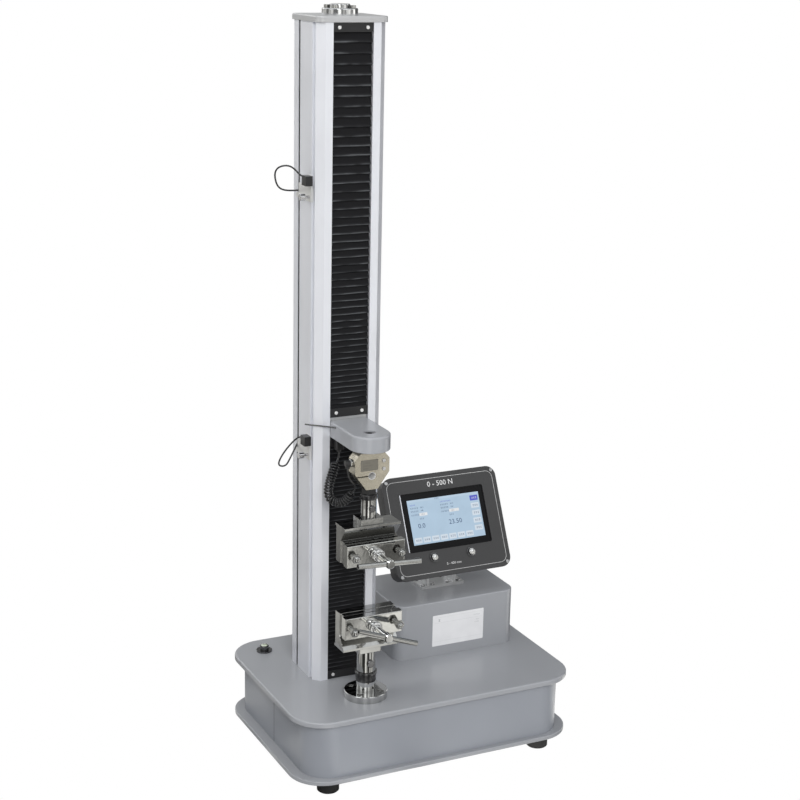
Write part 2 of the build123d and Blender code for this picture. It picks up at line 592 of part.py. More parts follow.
# Elbow plug on the load cell and the cable box under the arm
PLUG_X = XC - CELL_HALF - 8
BOX_MID = ((BOX_X[0] + BOX_X[1]) / 2, (BOX_Y[0] + BOX_Y[1]) / 2)
with BuildPart() as cord_fittings:
    sideways(YL, PLUG_Z, XC - CELL_HALF - PLUG_OUT, XC - CELL_HALF, PLUG_D)
    upright(PLUG_X, YL, PLUG_DOWN, PLUG_Z, LEAD_D + 4)
    block(BOX_X, BOX_Y, BOX_Z)
    fillet(cord_fittings.solids().sort_by(Axis.X)[-1].edges().filter_by(Axis.Z), 2)
    upright(*BOX_MID, BOX_Z[0] - GLAND_H, BOX_Z[0], GLAND_D)
save(cord_fittings, "cord_fittings")


def cord(points, dia, label):
    """A round cord through the points, its corners eased by tangent arcs."""
    runs = [Vector(*b) - Vector(*a) for a, b in zip(points, points[1:])]
    radii = []
    for a, b in zip(runs, runs[1:]):
        half = radians(a.get_angle(b)) / 2
        radii.append(0.45 * min(a.length, b.length) / tan(half))
    with BuildPart() as builder:
        with BuildLine() as route:
            FilletPolyline(*points, radius=radii)
        with BuildSketch(Plane(origin=points[0], z_dir=runs[0])):
            Circle(dia / 2)
        sweep(path=route.wires()[0])
    save(builder, label)


def ahead(a, b, run):
    """The point a run beyond b on the line from a."""
    way = (Vector(*b) - Vector(*a)).normalized()
    return tuple(Vector(*b) + way * run)


# Curly cord from the box under the arm, down, round and up to the elbow plug
GLAND = (BOX_MID[0], BOX_MID[1], BOX_Z[0] - GLAND_H)
GLAND_TURN = (GLAND[0], GLAND[1], GLAND[2] - 10)
COIL_SIDE, COIL_FOOT, COIL_RISE = (-171, -53, 546), (-182, -66, 515), (-160, -86, 507)
COIL_END = (-150, -100, 531)
COIL_START = ahead(COIL_SIDE, GLAND_TURN, -13)
LEAD_TURN = ahead(COIL_RISE, COIL_END, LEAD_RUN)
PLUG_TURN = (PLUG_X, YL, PLUG_DOWN - LEAD_RUN)
cord([GLAND, GLAND_TURN, COIL_START], LEAD_D, "cord_low_lead")
cord([COIL_START, COIL_SIDE, COIL_FOOT, COIL_RISE, COIL_END], COIL_D, "cord_coil")
cord([COIL_END, LEAD_TURN, PLUG_TURN, (PLUG_X, YL, PLUG_DOWN)], LEAD_D, "cord_top_lead")


def neck(z0, z1):
    """Square block between a grip and its shank."""
    rounded(XC, YL, NECK_X, NECK_Y, 2, z0, z1)


def cap_nut(x, z):
    """Domed nut on the front end of a guide pin."""
    back = YL + GUIDE_OUT
    flat = back - CAP_NUT_FLAT
    with BuildSketch(Plane.XZ.offset(-back)) as hexagon:
        with Locations((x, z)):
            RegularPolygon(CAP_NUT_AF / 2, 6, major_radius=False)
    extrude(hexagon.sketch, amount=CAP_NUT_FLAT)
    with Locations((x, flat, z)):
        Sphere(CAP_NUT_DOME_R)


def grip_frame(face, way):
    """Plate, sloping web, rear arm, fixed jaw face and guide pins of one grip."""
    profile = [
        (-PLATE_HALF_Y, 0),
        (PLATE_HALF_Y, 0),
        (PLATE_HALF_Y, PLATE_T),
        (ARM_Y, PLATE_T),
        (ARM_Y, JAW_END_T),
        (WEB_Y, JAW_END_T),
        (WEB_Y, JAW_TOP_T),
        (-PLATE_HALF_Y, PLATE_T),
    ]
    with BuildSketch(Plane.YZ.offset(XC - GRIP_HALF)) as side:
        Polygon(*[(YL + y, face + way * t) for y, t in profile], align=None)
    extrude(side.sketch, amount=2 * GRIP_HALF)
    z = face + way * GUIDE_T
    jaw_z = sorted(face + way * t for t in MOVE_T)
    block((XC - FIX_HALF, XC + FIX_HALF), (YL + FIX_FACE_Y, YL + WEB_Y), jaw_z)
    for u in (-GUIDE_U, GUIDE_U):
        forward(XC + u, z, YL + GUIDE_OUT, YL + GUIDE_IN, GUIDE_D)
        cap_nut(XC + u, z)
    forward(XC, z, YL + FIX_FACE_Y, YL + ARM_Y, SPINDLE_D + 2 * SLIDE, Mode.SUBTRACT)


def moving_jaw(face, way, front):
    """The front block that slides on the guide pins."""
    z = face + way * GUIDE_T
    jaw_z = sorted(face + way * t for t in MOVE_T)
    with BuildPart() as builder:
        block((XC - MOVE_HALF, XC + MOVE_HALF), (YL + front, YL + front + MOVE_THICK), jaw_z)
        fillet(builder.edges().group_by(Axis.Y)[0], 1.5)
        for u in (-GUIDE_U, GUIDE_U):
            at = XC + u
            forward(at, z, YL + front, YL + front + MOVE_THICK, GUIDE_D + 2 * RUN, Mode.SUBTRACT)
        bore = SPINDLE_D + 2 * RUN
        forward(XC, z, YL + front, YL + front + MOVE_THICK, bore, Mode.SUBTRACT)
    return builder


def bar_plane(z, y, lean, back):
    """The plane across a T-bar, back from its middle."""
    way = (cos(radians(lean)), 0, sin(radians(lean)))
    start = (XC - back * way[0], y, z - back * way[2])
    return Plane(origin=start, z_dir=way)


def grip_screw(face, way, front, bar_y, lean):
    """Clamping screw with its collar and the cross-bored head."""
    z = face + way * GUIDE_T
    collar_back = YL + front - SLIDE
    with BuildPart() as builder:
        forward(XC, z, YL + bar_y, YL + SPINDLE_TIP, SPINDLE_D)
        forward(XC, z, collar_back - COLLAR_L, collar_back, COLLAR_D)
        forward(XC, z, YL + bar_y - HEAD_L / 2, YL + bar_y + HEAD_L / 2, HEAD_D)
        ends = builder.edges().group_by(Axis.Y)[0]
        chamfer(ends, 2)
        with BuildSketch(bar_plane(z, YL + bar_y, lean, HEAD_D)):
            Circle(BAR_D / 2 + RUN)
        extrude(amount=2 * HEAD_D, mode=Mode.SUBTRACT)
    return builder


def tommy_bar(face, way, bar_y, lean):
    """Loose tubular bar through the head of a clamping screw."""
    z = face + way * GUIDE_T
    with BuildPart() as builder:
        with BuildSketch(bar_plane(z, YL + bar_y, lean, BAR_L / 2)):
            Circle(BAR_D / 2)
            Circle(BAR_BORE / 2, mode=Mode.SUBTRACT)
        extrude(amount=BAR_L)
    return builder


def cross_pin(z, dia, head, shank):
    """A headed pin through a shank, pulled out to the front."""
    with BuildPart() as builder:
        front = YL - shank / 2 - SEAT
        forward(XC, z, front, YL + shank / 2 - 1, dia)
        forward(XC, z, front - 4, front, head)
        chamfer(builder.edges().group_by(Axis.Y)[0], 1)
    return builder


# Upper grip
with BuildPart() as upper_grip_body:
    upright(XC, YL, *SHANK_UP, SHANK_UP_D)
    neck(UP_FACE, NECK_UP_TOP)
    upright(XC, YL, STUD_UP_LOW - 1, SHANK_UP[1], STUD_UP_D + 2 * SLIDE, Mode.SUBTRACT)
    forward(XC, PIN_UP_Z, YL - SHANK_UP_D, YL + SHANK_UP_D, PIN_UP_D + 2 * RUN, Mode.SUBTRACT)
    grip_frame(UP_FACE, -1)
save(upper_grip_body, "upper_grip_body")

UP_FRONT, UP_BAR_Y, UP_TILT = -35, -88.5, -3
save(moving_jaw(UP_FACE, -1, UP_FRONT), "upper_jaw")
save(grip_screw(UP_FACE, -1, UP_FRONT, UP_BAR_Y, UP_TILT), "upper_screw")
save(tommy_bar(UP_FACE, -1, UP_BAR_Y, UP_TILT), "upper_tbar")
save(cross_pin(PIN_UP_Z, PIN_UP_D, PIN_UP_HEAD, SHANK_UP_D), "upper_pin")

with BuildPart() as upper_lock_ring:
    upright(XC, YL, *RING_UP, RING_UP_D)
    chamfer(upper_lock_ring.edges(), 1)
    upright(XC, YL, *RING_UP, STUD_UP_D + 2 * RUN, Mode.SUBTRACT)
save(upper_lock_ring, "upper_lock_ring")

# Lower grip on its flange
with BuildPart() as lower_flange:
    upright(XC, YL, DECK, FLANGE_TOP, FLANGE_D)
    chamfer(lower_flange.edges().group_by(Axis.Z)[-1], 1)
    upright(XC, YL, FLANGE_TOP, FLANGE_HUB_TOP, FLANGE_HUB_D)
    upright(XC, YL, FLANGE_HUB_TOP, STUD_LOW_TOP, STUD_LOW_D)
    with BuildSketch(Plane.XY.offset(FLANGE_TOP)):
        with Locations((XC, YL)):
            with PolarLocations(FLANGE_SCREW_R, 4, start_angle=45):
                Circle(FLANGE_RECESS_D / 2)
    extrude(amount=-FLANGE_RECESS, mode=Mode.SUBTRACT)
    reach = STUD_LOW_D
    forward(XC, PIN_LOW_Z, YL - reach, YL + reach, PIN_LOW_D + 2 * SLIDE, Mode.SUBTRACT)
save(lower_flange, "lower_flange")

with BuildPart() as lower_lock_ring:
    upright(XC, YL, *RING_LOW, RING_LOW_D)
    upright(XC, YL, RING_LOW[1] - 5, RING_LOW[1], RING_LIP_D)
    upright(XC, YL, *RING_LOW, STUD_LOW_D + 2 * RUN, Mode.SUBTRACT)
save(lower_lock_ring, "lower_lock_ring")

with BuildPart() as lower_grip_body:
    upright(XC, YL, *SHANK_LOW, SHANK_LOW_D)
    neck(NECK_LOW_BASE, LOW_FACE)
    upright(XC, YL, SHANK_LOW[0], STUD_LOW_TOP + 1, STUD_LOW_D + 2 * SLIDE, Mode.SUBTRACT)
    reach = SHANK_LOW_D
    forward(XC, PIN_LOW_Z, YL - reach, YL + reach, PIN_LOW_D + 2 * RUN, Mode.SUBTRACT)
    grip_frame(LOW_FACE, 1)
save(lower_grip_body, "lower_grip_body")

LOW_FRONT, LOW_BAR_Y, LOW_TILT = -31, -88, -20
save(moving_jaw(LOW_FACE, 1, LOW_FRONT), "lower_jaw")
save(grip_screw(LOW_FACE, 1, LOW_FRONT, LOW_BAR_Y, LOW_TILT), "lower_screw")
save(tommy_bar(LOW_FACE, 1, LOW_BAR_Y, LOW_TILT), "lower_tbar")
save(cross_pin(PIN_LOW_Z, PIN_LOW_D, PIN_LOW_HEAD, SHANK_LOW_D), "lower_pin")

# Console box
CON_MID = ((CON_X[0] + CON_X[1]) / 2, (CON_Y[0] + CON_Y[1]) / 2)
CON_W, CON_D = CON_X[1] - CON_X[0], CON_Y[1] - CON_Y[0]
with BuildPart() as console_box:
    rounded(*CON_MID, CON_W, CON_D, CON_R, DECK, CON_TOP)
    fillet(console_box.edges().group_by(Axis.Z)[-1], 2.5)
    in_w, in_d = CON_W - 2 * CON_WALL, CON_D - 2 * CON_WALL
    in_top = CON_TOP - CON_WALL
    rounded(*CON_MID, in_w, in_d, CON_R - CON_WALL, DECK, in_top, Mode.SUBTRACT)
save(console_box, "console_box")

# Bracket with two cheeks that carry the tilting panel
CHEEKS = (CHEEK_X, 2 * PANEL_X - CHEEK_X - CHEEK_T)
with BuildPart() as panel_bracket:
    block(FOOT_PLATE_X, FOOT_PLATE_Y, (CON_TOP, CON_TOP + FOOT_PLATE_T))
    for x in CHEEKS:
        with BuildSketch(Plane.YZ.offset(x)):
            low = CON_TOP + FOOT_PLATE_T
            rear = FOOT_PLATE_Y[1] - 3
            front = FOOT_PLATE_Y[0] + 3
            left = PIVOT_Y - PIVOT_R
            right = PIVOT_Y + PIVOT_R
            Polygon((front, low), (rear, low), (right, PIVOT_Z), (left, PIVOT_Z), align=None)
            with Locations((PIVOT_Y, PIVOT_Z)):
                Circle(PIVOT_R)
                Circle(PIVOT_D / 2 + SLIDE, mode=Mode.SUBTRACT)
        extrude(amount=CHEEK_T)
save(panel_bracket, "panel_bracket")

with BuildPart() as pivot_bolt:
    bolt_x = (CHEEKS[0] - KNOB_L, CHEEKS[1] + CHEEK_T + KNOB_L)
    sideways(PIVOT_Y, PIVOT_Z, *bolt_x, PIVOT_D)
    sideways(PIVOT_Y, PIVOT_Z, bolt_x[0], CHEEKS[0], KNOB_D)
    sideways(PIVOT_Y, PIVOT_Z, CHEEKS[1] + CHEEK_T, bolt_x[1], KNOB_D)
    chamfer(pivot_bolt.edges().group_by(Axis.X)[0], 1)
    chamfer(pivot_bolt.edges().group_by(Axis.X)[-1], 1)
save(pivot_bolt, "pivot_bolt")

# Panel, on a plane that leans back from the display
LEAN_SIN, LEAN_COS = sin(radians(PANEL_TILT)), cos(radians(PANEL_TILT))
FACE = Plane(
    origin=(PANEL_X, PANEL_Y, PANEL_Z), x_dir=(1, 0, 0), z_dir=(0, -LEAN_COS, LEAN_SIN)
)


def on_panel(up, depth):
    """Y and Z of a point up the panel's face and behind it."""
    y = PANEL_Y + up * LEAN_SIN + depth * LEAN_COS
    z = PANEL_Z + up * LEAN_COS - depth * LEAN_SIN
    return y, z


with BuildPart() as panel_housing:
    case_w = PANEL_W - 2 * HOUSING_IN
    case_h = PANEL_H - 2 * HOUSING_IN
    case_r = PANEL_R - HOUSING_IN
    with BuildSketch(FACE.offset(-PANEL_T - HOUSING_T)):
        with Locations((0, -PANEL_DROP)):
            RectangleRounded(case_w, case_h, case_r)
    extrude(amount=HOUSING_T)
    rear_face = panel_housing.faces().sort_by(Axis(FACE.origin, FACE.z_dir))[0]
    fillet(rear_face.edges(), 4)
    with BuildSketch(FACE.offset(-PANEL_T)):
        with Locations((-BUTTON_U, BUTTON_V), (BUTTON_U, BUTTON_V)):
            Circle(BUTTON_D / 2 + SLIDE)
    extrude(amount=-BUTTON_DEEP, mode=Mode.SUBTRACT)
    for x in (CHEEKS[0] + CHEEK_T + LUG_GAP, CHEEKS[1] - LUG_GAP - LUG_T):
        with BuildSketch(Plane.YZ.offset(x)):
            depth = PANEL_T + HOUSING_T - 1
            root = [on_panel(up, depth) for up in LUG_ROOT]
            eye = [(PIVOT_Y + y, PIVOT_Z + z) for y, z in LUG_TANGENTS]
            Polygon(*root, *eye, align=None)
            with Locations((PIVOT_Y, PIVOT_Z)):
                Circle(LUG_R)
                Circle(PIVOT_D / 2 + RUN, mode=Mode.SUBTRACT)
        extrude(amount=LUG_T)
save(panel_housing, "panel_housing")

with BuildPart() as panel_front:
    with BuildSketch(FACE.offset(-PANEL_T)):
        with Locations((0, -PANEL_DROP)):
            RectangleRounded(PANEL_W, PANEL_H, PANEL_R)
        Rectangle(GLASS_W + 2 * SEAT, GLASS_H + 2 * SEAT, mode=Mode.SUBTRACT)
    extrude(amount=PANEL_T)
    with BuildSketch(FACE):
        with Locations((-BUTTON_U, BUTTON_V), (BUTTON_U, BUTTON_V)):
            Circle(BEZEL_D / 2)
    extrude(amount=BEZEL_T)
    with BuildSketch(FACE.offset(BEZEL_T)):
        with Locations((-BUTTON_U, BUTTON_V), (BUTTON_U, BUTTON_V)):
            Circle(BUTTON_D / 2 + SLIDE)
    extrude(amount=-PANEL_T - BEZEL_T, mode=Mode.SUBTRACT)
save(panel_front, "panel_front")

with BuildPart() as panel_glass:
    with BuildSketch(FACE.offset(GLASS_PROUD)):
        RectangleRounded(GLASS_W, GLASS_H, 3)
    extrude(amount=-GLASS_T)
save(panel_glass, "panel_glass")


def push_button(u):
    """A round push button standing out of its bezel."""
    with BuildPart() as builder:
        with BuildSketch(FACE.offset(-BUTTON_DEEP)):
            with Locations((u, BUTTON_V)):
                Circle(BUTTON_D / 2)
        extrude(amount=BUTTON_DEEP + BUTTON_OUT)
    return builder


save(push_button(-BUTTON_U), "start_button")
save(push_button(BUTTON_U), "stop_button")


def limit_switch(z):
    """Bracket hooked on the post, its tab, the slot nut and the switch body."""
    with BuildPart() as builder:
        plate_z = (z + TAB_LOW, z - TAB_STEP)
        block(TAB_X, TAB_Y, plate_z)
        block(TAB_X, (TAB_Y[0], SWITCH_TAB_Y), (plate_z[1], z + LIM_H))
        hook_x = XC - COL_HALF + GROOVE_DEPTH - HOOK_GAP
        block((TAB_X[0], hook_x), (TAB_Y[0], TAB_Y[0] + HOOK_T), plate_z)
        neck_half = SLOT_MOUTH / 2 - SEAT
        nut_half = SLOT_WIDE / 2 - SEAT
        slot_x = XC - COL_HALF + SLOT_LIP + SEAT
        nut_z = (plate_z[0] + 1, plate_z[0] + 1 + SLOT_NUT_H)
        block(TAB_X, (TAB_Y[1], SLOT_Y + neck_half), nut_z)
        block((TAB_X[0], slot_x), (SLOT_Y - neck_half, SLOT_Y + neck_half), nut_z)
        block((slot_x, slot_x + SLOT_NUT_T), (SLOT_Y - nut_half, SLOT_Y + nut_half), nut_z)
        bore = THUMB_STEM + 2 * SLIDE
        sideways(THUMB_Y, z - THUMB_DROP, *TAB_X, bore, Mode.SUBTRACT)
        block(LIM_X, LIM_Y, (z, z + LIM_H))
        pad_y = (LIM_Y[0] + 2 * PAD_EDGE, LIM_Y[1])
        block((LIM_X[1], TAB_X[0]), pad_y, (z + PAD_EDGE, z + LIM_H - PAD_EDGE))
    return builder


def thumbscrew(z):
    """Thumbscrew that bears on the post's rib through the bracket."""
    with BuildPart() as builder:
        sideways(THUMB_Y, z - THUMB_DROP, *THUMB_X, THUMB_D)
        chamfer(builder.edges(), 1)
        tip = XC - COL_HALF - RIB_PROUD
        sideways(THUMB_Y, z - THUMB_DROP, THUMB_X[1], tip, THUMB_STEM)
    return builder


save(limit_switch(LIM_UPPER), "limit_upper")
save(limit_switch(LIM_LOWER), "limit_lower")
save(thumbscrew(LIM_UPPER), "thumb_upper")
save(thumbscrew(LIM_LOWER), "thumb_lower")

# Switch cables, each looping from its switch back into the slot of the post
CABLE_X, CABLE_Y = -197.5, LIM_Y[1]
SLOT_IN = (XC - COL_HALF + SLOT_LIP + 0.5, SLOT_Y)
upper_cable = [
    (CABLE_X, CABLE_Y, 1073),
    (CABLE_X, CABLE_Y + 17, 1073),
    (-216, 29, 1094),
    (-240, 42, 1086),
    (-234, 47, 1054),
    (-212, 54, 1043),
    (*SLOT_IN, 1044.5),
]
lower_cable = [
    (CABLE_X, CABLE_Y, 609),
    (CABLE_X, CABLE_Y + 16, 609),
    (-214, 29, 592),
    (-231, 30, 571),
    (-236, 34, 553),
    (-218, 41, 547),
    (-207, 46, 559),
    (*SLOT_IN, 592),
]
cord(upper_cable, CABLE_D, "cable_upper")
cord(lower_cable, CABLE_D, "cable_lower")
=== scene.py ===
import math

import bpy
import numpy as np
from mathutils import Matrix, Vector

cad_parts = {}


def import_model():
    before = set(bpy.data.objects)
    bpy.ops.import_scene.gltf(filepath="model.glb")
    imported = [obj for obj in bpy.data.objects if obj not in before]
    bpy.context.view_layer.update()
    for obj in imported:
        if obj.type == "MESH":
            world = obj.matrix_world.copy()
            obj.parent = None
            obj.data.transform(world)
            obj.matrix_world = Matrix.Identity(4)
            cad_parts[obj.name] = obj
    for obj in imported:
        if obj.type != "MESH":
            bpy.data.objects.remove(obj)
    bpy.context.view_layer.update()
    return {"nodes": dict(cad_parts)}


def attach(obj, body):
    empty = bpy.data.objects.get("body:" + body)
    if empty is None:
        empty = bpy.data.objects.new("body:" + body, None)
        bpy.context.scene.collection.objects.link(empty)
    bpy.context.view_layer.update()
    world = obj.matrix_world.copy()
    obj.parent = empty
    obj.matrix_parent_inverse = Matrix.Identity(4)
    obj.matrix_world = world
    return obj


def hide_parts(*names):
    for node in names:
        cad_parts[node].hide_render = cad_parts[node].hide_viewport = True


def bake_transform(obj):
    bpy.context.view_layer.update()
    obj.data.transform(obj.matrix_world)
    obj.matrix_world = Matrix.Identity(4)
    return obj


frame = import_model()
nodes = frame["nodes"]

MM = 0.001
POST_X = -124
FRONT, UP, LEFT, BACK = (0, -1, 0), (0, 0, 1), (-1, 0, 0), (0, 1, 0)


def at(x, y, z):
    """A place given in mm, in metres."""
    return np.array((x, y, z), float) * MM


# Camera, as the photograph was taken
YAW, PITCH, ROLL = math.radians(-26.3), math.radians(15.4), math.radians(1.2)
CAMERA_AT = (-1.3184, -2.6466, 1.4740)
LENS = 75.75


def camera():
    """Turned by the yaw about z, tipped down by the pitch, then rolled about the line of sight."""
    level = math.cos(PITCH)
    right = Vector((math.cos(YAW), math.sin(YAW), 0))
    back = Vector((math.sin(YAW) * level, -math.cos(YAW) * level, math.sin(PITCH)))
    up = back.cross(right)
    rolled_right = math.cos(ROLL) * right + math.sin(ROLL) * up
    rolled_up = math.cos(ROLL) * up - math.sin(ROLL) * right
    data = bpy.data.cameras.new("camera")
    data.lens = LENS
    data.sensor_width = 36
    obj = bpy.data.objects.new("camera", data)
    place = Matrix((rolled_right, rolled_up, back)).transposed().to_4x4()
    place.translation = Vector(CAMERA_AT)
    obj.matrix_world = place
    bpy.context.scene.collection.objects.link(obj)
    bpy.context.scene.camera = obj


camera()


# Node helpers
FLOAT, VECTOR, COLOUR = "NodeSocketFloat", "NodeSocketVector", "NodeSocketColor"


def feed(tree, socket, value):
    """Links a socket to another, or sets it to a plain value."""
    if isinstance(value, bpy.types.NodeSocket):
        tree.links.new(value, socket)
    else:
        socket.default_value = value


def feed_all(tree, node, **values):
    """Feeds a node's inputs by their labels, with _ for a space."""
    for label, value in values.items():
        feed(tree, node.inputs[label.replace("_", " ")], value)


def add(tree, kind, **values):
    """A node; each keyword is one of its properties, or else the label of an input to feed."""
    n = tree.nodes.new(kind)
    for key, value in values.items():
        if hasattr(n, key):
            setattr(n, key, value)
        else:
            feed_all(tree, n, **{key: value})
    return n


def calc(tree, operation, a, b=0.0, clamp=False):
    """A Math node's result for two sockets or numbers."""
    n = add(tree, "ShaderNodeMath", operation=operation, use_clamp=clamp)
    feed(tree, n.inputs[0], a)
    feed(tree, n.inputs[1], b)
    return n.outputs[0]


def vector_calc(tree, operation, a, b=(0, 0, 0)):
    """A Vector Math node's result for two sockets or vectors: a number for a dot product."""
    n = add(tree, "ShaderNodeVectorMath", operation=operation)
    feed(tree, n.inputs[0], a)
    feed(tree, n.inputs[1], b)
    return n.outputs["Value" if operation == "DOT_PRODUCT" else "Vector"]


def scaled(tree, vector, factor):
    """A vector or colour times a number."""
    n = add(tree, "ShaderNodeVectorMath", operation="SCALE", Vector=vector, Scale=factor)
    return n.outputs["Vector"]


def mix(tree, fac, a, b):
    """A colour mix; fac, a and b are sockets or values."""
    n = add(tree, "ShaderNodeMix", data_type="RGBA")
    for key, value in ((0, fac), (6, a), (7, b)):
        feed(tree, n.inputs[key], value)
    return n.outputs[2]


def spread(tree, source, low, high, start=0.3, stop=0.7):
    """Maps a socket's range start..stop to low..high, and holds it there."""
    n = add(tree, "ShaderNodeMapRange", Value=source, From_Min=start, From_Max=stop, To_Min=low, To_Max=high)
    return n.outputs["Result"]


def noise(tree, vector, scale, detail=2.0, roughness=0.5):
    return add(
        tree, "ShaderNodeTexNoise", Vector=vector, Scale=scale, Detail=detail, Roughness=roughness
    ).outputs["Fac"]


def object_place(tree):
    """The Object coordinate, which stays with the piece."""
    return add(tree, "ShaderNodeTexCoord").outputs["Object"]


def axes(tree, vector):
    """A vector's X, Y and Z outputs."""
    return add(tree, "ShaderNodeSeparateXYZ", Vector=vector).outputs


def bumped(tree, height, strength, distance, under=None):
    """A bump laid over the normal under it, if there is one."""
    n = add(tree, "ShaderNodeBump", Height=height, Strength=strength, Distance=distance)
    if under is not None:
        tree.links.new(under, n.inputs["Normal"])
    return n.outputs["Normal"]


# Node groups
def group(name, inputs, outputs):
    """A node group with its sockets, as (tree, input node, output node)."""
    tree = bpy.data.node_groups.new(name, "ShaderNodeTree")
    for label, kind, value in inputs:
        tree.interface.new_socket(label, in_out="INPUT", socket_type=kind).default_value = value
    for label, kind in outputs:
        tree.interface.new_socket(label, in_out="OUTPUT", socket_type=kind)
    return tree, tree.nodes.new("NodeGroupInput").outputs, tree.nodes.new("NodeGroupOutput").inputs


def use(tree, which, **values):
    """Places a node group with its inputs set, and gives its outputs."""
    n = add(tree, "ShaderNodeGroup", node_tree=which)
    feed_all(tree, n, **values)
    return n.outputs


def wear_group():
    """Mask of worn edges: pointiness broken up by noise."""
    t, given, out = group("edge_wear", [("Amount", FLOAT, 0.5), ("Scale", FLOAT, 60.0)], [("Mask", FLOAT)])
    edge = spread(t, add(t, "ShaderNodeNewGeometry").outputs["Pointiness"], 0, 1, 0.52, 0.62)
    patch = spread(t, noise(t, object_place(t), given["Scale"], 4.0, 0.65), 0, 1, 0.42, 0.62)
    feed(t, out["Mask"], calc(t, "MULTIPLY", calc(t, "MULTIPLY", edge, patch), given["Amount"], True))
    return t


def grain_group():
    """Fine height and a slow blotch; the fine grain is stretched along the three axes."""
    t, given, out = group(
        "grain",
        [("Stretch", VECTOR, (1.0, 1.0, 1.0)), ("Fine", FLOAT, 900.0), ("Slow", FLOAT, 9.0)],
        [("Height", FLOAT), ("Blotch", FLOAT)],
    )
    stretched = vector_calc(t, "MULTIPLY", object_place(t), given["Stretch"])
    feed(t, out["Height"], noise(t, stretched, given["Fine"], 3.0, 0.55))
    feed(t, out["Blotch"], noise(t, object_place(t), given["Slow"]))
    return t


WEAR, GRAIN = wear_group(), grain_group()


# Materials
# The third colour is the painted shade laid into hollows
BLACK, WORN_EDGE, HOLLOW_SHADE_COLOUR = (0, 0, 0, 1), (0.6, 0.6, 0.6, 1), (0.03, 0.03, 0.03, 1)
GRAIN_DEPTH, RIPPLE_DEPTH, HOLLOW_REACH = 0.4 * MM, 2 * MM, 35 * MM


def principled(name):
    """A new material, its tree and its Principled shader."""
    m = bpy.data.materials.new(name)
    m.use_nodes = True
    return m, m.node_tree, m.node_tree.nodes["Principled BSDF"]


def tone(colour, factor):
    """A colour made lighter or darker."""
    return (*(min(c * factor, 1) for c in colour), 1)


def surface(
    name, colour, rough, metallic=0.0, fine=900.0, slow=9.0, stretch=(1, 1, 1), bump=0.05,
    vary=0.05, rough_vary=0.06, edge=0.4, wear=0.0, coat=0.0, specular=0.5, ripple=0.0,
    ripple_scale=28.0, shade=0.0,
):
    """A procedural finish over one base colour.

    Blotches vary the colour and roughness, wear shows on edges, painted shade darkens the colour in
    the hollows, the grain and slow ripples bend the reflections, and corners look eased by edge in mm.
    """
    m, t, p = principled(name)
    grain = use(t, GRAIN, Stretch=stretch, Fine=fine, Slow=slow)
    blotch = spread(t, grain["Blotch"], 0, 1)
    colours = mix(t, blotch, tone(colour, 1 - vary), tone(colour, 1 + vary))
    if wear:
        colours = mix(t, use(t, WEAR, Amount=wear)["Mask"], colours, WORN_EDGE)
    if shade:
        # Painted shade: ambient occlusion turns the colour dark in the hollows, where shade falls
        open_air = add(t, "ShaderNodeAmbientOcclusion", Distance=HOLLOW_REACH, samples=6).outputs["AO"]
        colours = mix(t, spread(t, open_air, shade, 0.0, 0.1, 0.75), colours, HOLLOW_SHADE_COLOUR)
    normal = None
    if edge:
        normal = add(t, "ShaderNodeBevel", Radius=edge * MM, samples=4).outputs["Normal"]
    if ripple:
        slow_height = use(t, GRAIN, Fine=ripple_scale)["Height"]
        normal = bumped(t, slow_height, ripple, RIPPLE_DEPTH, normal)
    feed_all(
        t, p, Base_Color=colours, Metallic=metallic, Specular_IOR_Level=specular, Coat_Weight=coat,
        Roughness=spread(t, grain["Blotch"], rough - rough_vary, rough + rough_vary),
        Coat_Roughness=0.15, Normal=bumped(t, grain["Height"], bump, GRAIN_DEPTH, normal),
    )
    return m


BRUSHED_UP, BRUSHED_ACROSS = (1.0, 1.0, 0.02), (0.02, 1.0, 1.0)
